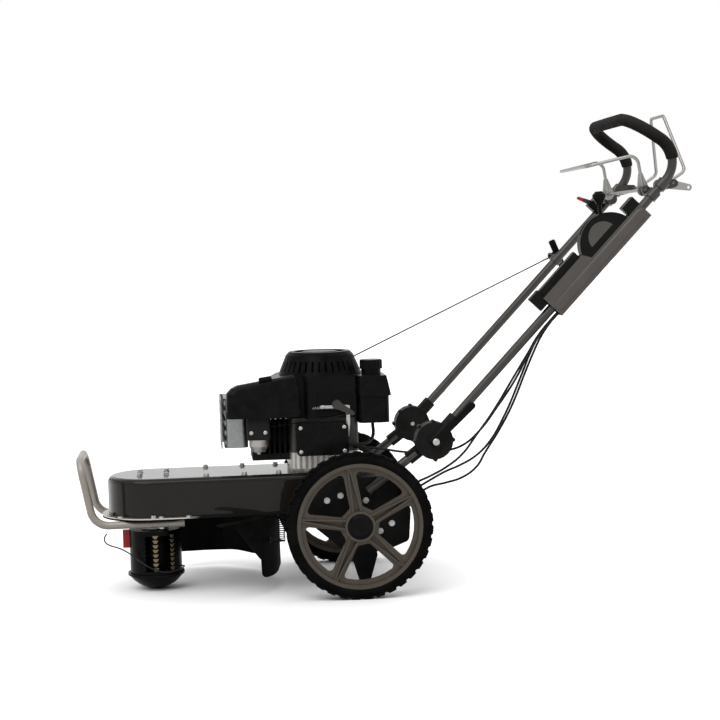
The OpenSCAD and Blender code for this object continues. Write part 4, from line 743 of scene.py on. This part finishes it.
# Cylinder and carburettor: the finned barrel is sprayed heat-proof black, and so is the intake
# body, while the carburettor's float bowl hangs bare and bright below it.
def barrel_finish(at):
    soot = noise(at, 90, 5, 0.66)
    return {
        "Base Color": soot.mix((0.012, 0.012, 0.012, 1), (0.045, 0.043, 0.04, 1)),
        "Roughness": 0.5 + soot * 0.25,
        "Normal": bump(at, noise(at, 420, 4), 0.0004),
    }


barrel_black = surface("barrel_black", {"Specular IOR Level": 0.05}, barrel_finish)
dress(barrel_black, "cylinder_block")
bowl_top = 0.374


def intake_finish(at):
    body = at.node("SeparateXYZ", {}, {"Vector": at}, 2) > bowl_top
    grain = noise(at, 380, 4, 0.65)
    dark_tone = grain.mix((0.01, 0.01, 0.01, 1), (0.03, 0.029, 0.028, 1))
    return {
        "Base Color": body.mix((0.34, 0.326, 0.306, 1), dark_tone),
        "Roughness": 0.32 + grain * 0.3,
        "Metallic": 0.9 - body * 0.8,
        "Normal": bump(at, grain, 0.0004),
    }


dress(surface("intake_and_bowl", {"Specular IOR Level": 0.06}, intake_finish), "carburettor")

# Engine covers: black injection mouldings bolted round the engine, with the recoil cover left
# duller than the rest. The levers and grips of the handle are the same plastic.
dress(matt_moulding, "recoil_cover")
dress(
    moulding, "engine_shroud", "fuel_tank", "fuel_cap", "air_filter_cover", "side_cover", "starter_grip",
    "throttle_housing", "shift_lever", "clamp_lever_left", "clamp_lever_right",
)


# Cover screws: plated pan heads with a pressed recess, four in the side cover and two through
# the carburettor's flange.
head_r, head_t, head_lift, crown_in, crown_rises = 0.0048, 0.0022, 0.0009, 0.0012, (0.0009, 0.0003)
pattern = start_round(20, head_r, head_t, head_lift)
select_faces(pattern, faces_up)
for crown_rise in crown_rises:
    bpy.ops.mesh.inset(thickness=crown_in)
    bpy.ops.transform.translate(value=(0, 0, crown_rise))
bpy.ops.mesh.inset(thickness=crown_in / 2)
extrude(0, 0, -crown_in)
bpy.ops.object.mode_set(mode="OBJECT")
smooth(35)
pattern.data.materials.append(zinc)
screw_mesh = pattern.data
bpy.data.objects.remove(pattern)


def drive_screw(name, point, axis, body, scale=1):
    screw = bpy.data.objects.new(name, screw_mesh.copy())
    bpy.context.scene.collection.objects.link(screw)
    screw.data.transform(Matrix.Scale(scale, 4))
    settle(screw, name, point, axis)
    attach(screw, body)


engine_mm_x = -66
engine_x = (engine_mm_x + part_x) * mm
cover_y, flange_y, flange_z = -0.14, -0.132, 0.392
screw_places = [(x, cover_y, z) for z in (0.342, 0.4) for x in (-0.061, 0.045)]
screw_places += [(x, flange_y, flange_z) for x in (-0.18, -0.146)]
for k, (x, y, z) in enumerate(screw_places):
    drive_screw("cover_screw_%d" % (k + 1), Vector((engine_x + x, y, z)), (0, -1, 0), "chassis")

# Starter reel: the rope drum inside the recoil cover, a dark moulding with a turned groove,
# seen through the cover's slots.
reel_r, reel_z, flange_t = 0.074, 0.527, 0.008
waist_in, waist_h, lip_out, lip_t = 0.008, 0.018, 0.006, 0.006
reel = start_round(64, reel_r, flange_t)
select_faces(reel, faces_up)
bpy.ops.mesh.inset(thickness=waist_in)
extrude(0, 0, waist_h)
bpy.ops.mesh.inset(thickness=-lip_out)
extrude(0, 0, lip_t)
bpy.ops.object.mode_set(mode="OBJECT")
settle(reel, "starter_reel", Vector((engine_x, 0, reel_z)))
smooth()
reel.data.materials.append(moulding)
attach(reel, "chassis")

# Rim bolts: the same heads, larger, down through the base plate's rim, and one up into the
# bumper's near end.
rim_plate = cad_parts["deck_base_plate"]
bolt_scale, above_plate = 1.5, 0.205
for k, (x, y) in enumerate([(-0.08, -0.097), (0.019, -0.122), (0.085, -0.1225)]):
    top = rim_plate.ray_cast(drum_axis + Vector((x, y, above_plate)), Vector((0, 0, -1)))[1]
    drive_screw("rim_bolt_%d" % (k + 1), top, (0, 0, 1), "chassis", bolt_scale)
bumper_end = drum_axis + Vector((0.0195, -0.0972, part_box("bumper")[0].z))
drive_screw("bumper_bolt", bumper_end, (0, 0, -1), "chassis", bolt_scale)

# Governor linkage: a thin blackened rod from the governor's arm to the carburettor, and the
# small plated return spring that lies above it.
engine_mm_z, rod_r, fine_r = 286, 1.2 * mm, 0.5 * mm
fine_x, fine_y, fine_z, fine_coil_r, fine_step, fine_turns = 22, -120, 160, 3.2, 0.36, 12


def on_engine(points):
    return route([(x + engine_mm_x, y, z + engine_mm_z) for x, y, z in points])


link_points = [
    (68, -121, 145), (46, -121.5, 141), (0, -122, 134),
    (-60, -122, 127), (-110, -121, 121), (-136, -120, 119),
]
link = to_mesh(lay_curve("governor_rod", on_engine(link_points), rod_r))
fine_points = []
for k in range(fine_turns * coil_steps + 1):
    angle = 2 * math.pi * k / coil_steps
    coil_y, coil_z = fine_y + fine_coil_r * math.cos(angle), fine_z + fine_coil_r * math.sin(angle)
    fine_points.append((fine_x - fine_step * k, coil_y, coil_z))
coil = to_mesh(lay_curve("governor_spring", on_engine(fine_points), fine_r))
for wire, coat, slot in ((link, chassis_paint, "frame_paint"), (coil, zinc, "bright_steel")):
    wire.data.materials.append(coat)
    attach(wire, "chassis")

# Lower air guide: a shallow tray of folded black sheet under the cylinder's fins, which turns
# the fan's air round the barrel.
fin_low, fin_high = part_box("cylinder_block")
guide_gap, guide_t, guide_wall, guide_drop, guide_round = 0.0012, 0.0016, 0.014, 0.0003, 0.0004
guide_l, guide_w = fin_high.x - fin_low.x, fin_high.y - fin_low.y + 2 * guide_gap
guide = start_box(guide_l, guide_w, guide_t, -guide_t / 2)
for side in (-1, 1):
    select_faces(guide, lambda face: face.normal.y * side > 0.9)
    extrude(0, guide_t * side, 0)
    select_faces(guide, lambda face: faces_up(face) and face.center.y * side > guide_w / 2)
    extrude(0, 0, guide_wall)
bpy.ops.object.mode_set(mode="OBJECT")
round_edges(guide, guide_round)
guide_at = Vector(((fin_low.x + fin_high.x) / 2, (fin_low.y + fin_high.y) / 2, fin_low.z - guide_drop))
settle(guide, "lower_air_guide", guide_at)
smooth()
guide.data.materials.append(barrel_black)
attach(guide, "chassis")

# Throttle bracket: a plated strip screwed across the control bracket, with a long arm folded
# down beside the side cover.
stay_l, stay_t, stay_h, stay_round = 0.064, 0.0022, 0.0075, 0.0006
stay_x, stay_y, stay_z, stay_screw_out = -0.1335, -0.1175, 0.4475, 0.001
arm_w, arm_fall, arm_half, arm_lean, arm_taper, top_edge = 0.009, 0.001, 0.034, 0.002, 0.7, 0.0003
stay = start_box(stay_l, stay_t, stay_h)
select_faces(stay, lambda face: face.normal.x > 0.9)
extrude(arm_w, 0, -arm_fall)
select_faces(stay, lambda face: face.normal.z < -0.9 and face.center.x > stay_l / 2)
extrude(0, 0, -arm_half)
extrude(-arm_lean, 0, -arm_half)
bpy.ops.transform.resize(value=(arm_taper, 1, 1))
select_faces(stay, lambda face: faces_up(face) and face.center.x < stay_l / 2)
bpy.ops.mesh.inset(thickness=top_edge)
bpy.ops.object.mode_set(mode="OBJECT")
round_edges(stay, stay_round)
settle(stay, "throttle_bracket", Vector((stay_x, stay_y, stay_z)))
smooth()
stay.data.materials.append(zinc)
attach(stay, "chassis")
for k, x in enumerate((-0.158, -0.108)):
    screw_at = Vector((x, stay_y - stay_screw_out, stay_z))
    drive_screw("bracket_screw_%d" % (k + 1), screw_at, (0, -1, 0), "chassis")

# Air filter cover: one black moulding with a clipped lip at its foot, upright walls and a
# crowned top that rises to the rear, every edge well rounded.
filter_low, filter_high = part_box("air_filter_cover")
lip_h, lip_in, corner_r, wall_h, brow_h = 0.014, 0.0025, 0.022, 0.046, 0.024
crown_turn, crown_edge, shell_round = math.radians(9), 0.011, 0.006
shell = start_box(filter_high.x - filter_low.x, filter_high.y - filter_low.y, lip_h, lip_h / 2)
bpy.ops.object.mode_set(mode="EDIT")
bpy.context.tool_settings.mesh_select_mode = (False, True, False)
bpy.ops.mesh.select_all(action="DESELECT")
bpy.ops.object.mode_set(mode="OBJECT")
for edge in shell.data.edges:
    ends = [shell.data.vertices[v].co for v in edge.vertices]
    edge.select = abs(ends[0].z - ends[1].z) > 0.01
bpy.ops.object.mode_set(mode="EDIT")
bpy.ops.mesh.bevel(offset=corner_r, segments=6, profile=0.5)
select_faces(shell, faces_up)
bpy.ops.mesh.inset(thickness=lip_in)
extrude(0, 0, wall_h)
bpy.ops.transform.resize(value=(0.985, 0.96, 1))
extrude(0, 0, brow_h)
bpy.ops.transform.resize(value=(0.9, 0.74, 1))
crown_middle = (0, 0, lip_h + wall_h + brow_h)
bpy.ops.transform.rotate(value=crown_turn, orient_axis="Y", center_override=crown_middle)
bpy.ops.mesh.inset(thickness=crown_edge)
bpy.ops.transform.translate(value=(0.004, 0, 0.006))
bpy.ops.object.mode_set(mode="OBJECT")
round_edges(shell, shell_round, 4, 24)
shell_at = (filter_low + filter_high) / 2
shell_at.z = filter_low.z
settle(shell, "filter_shell", shell_at)
smooth(50)
shell.data.materials.append(moulding)
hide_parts("air_filter_cover")
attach(shell, "chassis")
bpy.context.view_layer.update()

# Filter latch: a moulded thumb catch, stepped and hollowed on top, that clips the air filter
# cover's crown to its base.
latch_l, latch_w, latch_h, latch_lift, latch_round = 0.032, 0.012, 0.008, 0.002, 0.0012
latch_x, latch_y, step_in, step_h, hollow_in, hollow_h = -0.142, -0.122, 0.002, 0.003, 0.0016, 0.0015
latch = start_box(latch_l, latch_w, latch_h, latch_lift)
select_faces(latch, faces_up)
bpy.ops.mesh.inset(thickness=step_in)
extrude(0, 0, step_h)
bpy.ops.mesh.inset(thickness=hollow_in)
extrude(0, 0, -hollow_h)
bpy.ops.object.mode_set(mode="OBJECT")
round_edges(latch, latch_round)
smooth()
crown, slope = shell.ray_cast(Vector((engine_x + latch_x, latch_y, 1)), Vector((0, 0, -1)))[1:3]
settle(latch, "filter_latch", crown, slope)
latch.data.materials.append(moulding)
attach(latch, "chassis")


# Muffler and its guard: pressed from aluminised sheet steel, straw-coloured and bluish where
# it runs hot.
def hot_finish(at):
    heat = noise(at, 14, 4)
    soot = noise(at, 120, 5)
    hues = [(0.3, (0.31, 0.34, 0.34)), (0.55, (0.25, 0.28, 0.275)), (0.75, (0.24, 0.225, 0.185))]
    tint = at.node("ValToRGB", {"stops": hues}, {"Fac": heat})
    return {
        "Base Color": (soot * 1.4 - 0.45).clip().mix((0.2, 0.205, 0.2, 1), tint),
        "Roughness": 0.26 + soot * 0.25,
        "Normal": bump(at, noise(at, 240, 3), 0.0003),
    }


hot_steel = surface("aluminised_steel", {"Metallic": 1.0}, hot_finish)
dress(hot_steel, "muffler", "muffler_guard")


# Control bracket: black pressed plate on the shroud's near side, with the governor's plated arm
# pivoted on its face. The arm is coloured dark metal, painted shade for the shadow it lies in.
arm_y = -0.1155


def bracket_finish(at):
    arm = 1 - (at.node("SeparateXYZ", {}, {"Vector": at}, 1) > arm_y)
    grime = noise(at, 110, 5, 0.6)
    black = grime.mix((0.004, 0.004, 0.004, 1), (0.012, 0.0115, 0.011, 1))
    return {
        # The arm's dark metal tone is painted shade, standing in for plated steel in shadow.
        "Base Color": arm.mix(black, (0.05, 0.048, 0.045, 1)),
        "Roughness": 0.36 + grime * 0.25,
        "Metallic": arm,
        "Normal": bump(at, noise(at, 300, 3), 0.0002),
    }


dress(surface("bracket_and_arm", {"Specular IOR Level": 0.04}, bracket_finish), "control_bracket")


# Spark plug: white glazed ceramic screwed into the cylinder's head, under the black boot of
# its lead.
boot_y = 0.076


def glaze_finish(at):
    craze = noise(at, 70, 4)
    boot = at.node("SeparateXYZ", {}, {"Vector": at}, 1) > boot_y
    white = craze.mix((0.68, 0.67, 0.63, 1), (0.8, 0.79, 0.76, 1))
    return {
        "Base Color": boot.mix(white, (0.008, 0.008, 0.008, 1)),
        "Roughness": 0.12 + craze * 0.2 + boot * 0.35,
        "Normal": bump(at, noise(at, 260), 0.0001),
    }


dress(surface("glazed_ceramic", {}, glaze_finish), "spark_plug")


# Handle tubes: drawn steel tube, bent and welded, in dark metallic powder coat with the coat's
# fine pebble. The hinge discs carry the frame's paint.
def tube_finish(at):
    pebble = noise(at, 640, 3)
    rub = noise(at, 26, 5, 0.64)
    return {
        "Base Color": rub.mix((0.03, 0.027, 0.024, 1), (0.062, 0.056, 0.05, 1)),
        "Roughness": 0.24 + rub * 0.22,
        "Normal": bump(at, pebble, 0.0002, 0.6),
    }


tube_coat = surface("tube_coat", {"Metallic": 0.5}, tube_finish)
dress(tube_coat, "lower_handle_tubes", "handlebar", "handlebar_brackets")
dress(chassis_paint, "lower_hinge_discs", "upper_hinge_discs")

# Hinge bolts: plated heads, larger than the cover screws, in the middle of each hinge's near
# face.
pivot_x, pivot_z = 188, 367
hinge = route([(pivot_x, 0, pivot_z)])[0]
for name, start, body, scale, nodes in (
    ("near_hinge_bolt", -0.4, "clamp_lever_left", 1.7, ("clamp_lever_left",)),
    ("far_hinge_bolt", 0.1, "chassis", 2.2, ("lower_hinge_discs", "upper_hinge_discs", "clamp_lever_right")),
):
    sight = Vector((hinge.x + 0.001, start, hinge.z))
    hits = [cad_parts[node].ray_cast(sight, Vector((0, 1, 0))) for node in nodes]
    face_y = min(hit[1].y for hit in hits if hit[0])
    drive_screw(name, Vector((hinge.x, face_y, hinge.z)), (0, -1, 0), body, scale)


# Console: folded sheet steel in dark grey-brown paint, drawn along its length and clamped
# between the handle tubes.
def brushed_finish(at):
    stroke = at.node("Mapping", {}, {"Vector": at, "Scale": (40, 900, 40)})
    lines = noise(stroke, 1, 4)
    film = noise(at, 24, 4)
    return {
        "Base Color": film.mix((0.075, 0.067, 0.061, 1), (0.112, 0.1, 0.092, 1)),
        "Roughness": 0.28 + lines * 0.25,
        "Normal": bump(at, lines, 0.0001),
    }


brushed = surface("brushed_sheet", {"Metallic": 0.4, "Specular IOR Level": 0.3}, brushed_finish)
dress(brushed, "console")

# Console bead: the sheet is pressed out over the tube that it clasps, a long low half-round
# with tapered ends.
lean = math.radians(46.5)
along_tube = (math.cos(lean), 0, math.sin(lean))
out_of_tube = (-math.sin(lean), 0, math.cos(lean))


def tube_point(s, y, n):
    """The point s mm up the handle from its hinge, y mm across and n mm out of the tubes' plane."""
    x = pivot_x + s * along_tube[0] + n * out_of_tube[0]
    return route([(x, y, pivot_z + s * along_tube[2] + n * out_of_tube[2])])[0]


bead_r, bead_l, bead_end, bead_taper, bead_flat = 0.0125, 0.296, 0.01, 0.6, 0.28
bead = start_round(40, bead_r, bead_l)
for end in (-1, 1):
    select_faces(bead, lambda face: face.normal.z * end > 0.9)
    extrude(0, 0, bead_end * end)
    bpy.ops.transform.resize(value=(bead_taper, bead_taper, 1))
bpy.ops.mesh.select_all(action="SELECT")
bpy.ops.transform.resize(value=(1, bead_flat, 1))
bpy.ops.object.mode_set(mode="OBJECT")
settle(bead, "console_bead", tube_point(588.5, -228.2, -6), along_tube)
smooth()
bead.data.materials.append(brushed)
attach(bead, "handle")

# Console covers: black mouldings clipped on the console, with a pale plate let into the shift
# quadrant's face.
dial_centre, dial_r, dial_out = tube_point(634, 0, 24), 0.037, 0.004


def cover_finish(at):
    local = at.node("VectorMath", {"operation": "SUBTRACT"}, {0: at, 1: dial_centre})
    flat = at.node("VectorMath", {"operation": "MULTIPLY"}, {0: local, 1: (1, 0, 1)})
    radius = at.node("VectorMath", {"operation": "LENGTH"}, {0: flat}, 1)
    out = at.node("VectorMath", {"operation": "DOT_PRODUCT"}, {0: local, 1: out_of_tube}, 1)
    plate = (1 - (radius > dial_r)) * (out > dial_out)
    grain = noise(at, 620, 3)
    rub = noise(at, 40, 5, 0.62)
    black = rub.mix((0.007, 0.007, 0.007, 1), (0.02, 0.019, 0.018, 1))
    pale = rub.mix((0.12, 0.114, 0.106, 1), (0.16, 0.154, 0.144, 1))
    return {
        "Base Color": plate.mix(black, pale),
        "Roughness": 0.26 + rub * 0.26,
        "Normal": bump(at, grain - plate * 3, 0.0002, 0.7),
    }


dress(surface("quadrant_moulding", {"Specular IOR Level": 0.05}, cover_finish), "console_covers")

# Throttle lever: black moulded arm with a red thumb tip, pivoted in its housing on the far
# handle tube.
bar_half, tip_reach, throttle_turn = 210, 0.033, math.radians(112)
throttle_pivot = tube_point(755, bar_half, 22)
turn_along, turn_out = math.cos(throttle_turn), math.sin(throttle_turn)
throttle_way = [turn_along * a + turn_out * b for a, b in zip(along_tube, out_of_tube)]


def thumb_finish(at):
    local = at.node("VectorMath", {"operation": "SUBTRACT"}, {0: at, 1: throttle_pivot})
    reach = at.node("VectorMath", {"operation": "DOT_PRODUCT"}, {0: local, 1: throttle_way}, 1)
    tip = reach > tip_reach
    fade = noise(at, 48, 5, 0.6)
    red = fade.mix((0.42, 0.012, 0.016, 1), (0.56, 0.03, 0.03, 1))
    return {
        "Base Color": tip.mix((0.01, 0.01, 0.01, 1), red),
        "Roughness": 0.32 + fade * 0.2,
        "Normal": bump(at, noise(at, 520, 2), 0.0002),
    }


dress(surface("throttle_tip", {}, thumb_finish), "throttle_lever")


# Bails: bent steel rod hung in the handlebar's brackets, with a dull plated coat polished where
# the hands pull it.
def bail_finish(at):
    polish = noise(at, 34, 5, 0.6)
    return {
        "Base Color": polish.mix((0.22, 0.211, 0.198, 1), (0.34, 0.331, 0.317, 1)),
        "Roughness": 0.26 + polish * 0.22,
        "Normal": bump(at, noise(at, 800, 2), 0.0001),
    }


dress(surface("bail_rod", {"Metallic": 1.0}, bail_finish), "front_bail", "rear_bail")


# Foam grip: one closed-cell black foam sleeve pushed round the handlebar's bends and cross
# bar, a little pinched at its ends.
def foam_finish(at):
    cells = at.node("TexVoronoi", {"feature": "F1"}, {"Vector": at, "Scale": 900})
    crush = noise(at, 32, 4)
    pits = (cells * 0.8 + crush * 0.3).clip()
    return {
        "Base Color": pits.mix((0.04, 0.037, 0.034, 1), (0.014, 0.013, 0.0125, 1)),
        "Roughness": 0.85 + crush * 0.12,
        "Normal": bump(at, cells, 0.0008, 0.8),
    }


foam = surface("cell_foam", {"Specular IOR Level": 0.06}, foam_finish)
rise_angle, foam_r = math.radians(98.5), 15 * mm
rear_bend, front_bend, corner_s, upright = 66, 85, 914, 169
rear_steps, front_steps = 8, 12
bar = []
for side in (-1, 1):
    way = []
    reach = rear_bend * math.tan(rise_angle / 2)
    for k in range(rear_steps + 1):
        a = rise_angle * (0.5 + 0.5 * k / rear_steps)
        s, n = corner_s - reach + rear_bend * math.sin(a), rear_bend - rear_bend * math.cos(a)
        way.append(tube_point(s, side * bar_half, n))
    along_s, along_n = math.cos(rise_angle), math.sin(rise_angle)
    for k in range(front_steps + 1):
        a = math.pi / 2 * k / front_steps
        d = upright - front_bend + front_bend * math.sin(a)
        across = side * (bar_half - front_bend + front_bend * math.cos(a))
        way.append(tube_point(corner_s + along_s * d, across, along_n * d))
    bar += way if side < 0 else way[::-1]
pinch = [0.9, 0.98] + [1.0] * (len(bar) - 4) + [0.98, 0.9]
grip = to_mesh(lay_curve("grip_sleeve", bar, foam_r, pinch))
grip.data.materials.append(foam)
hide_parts("foam_grips")
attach(grip, "handle")
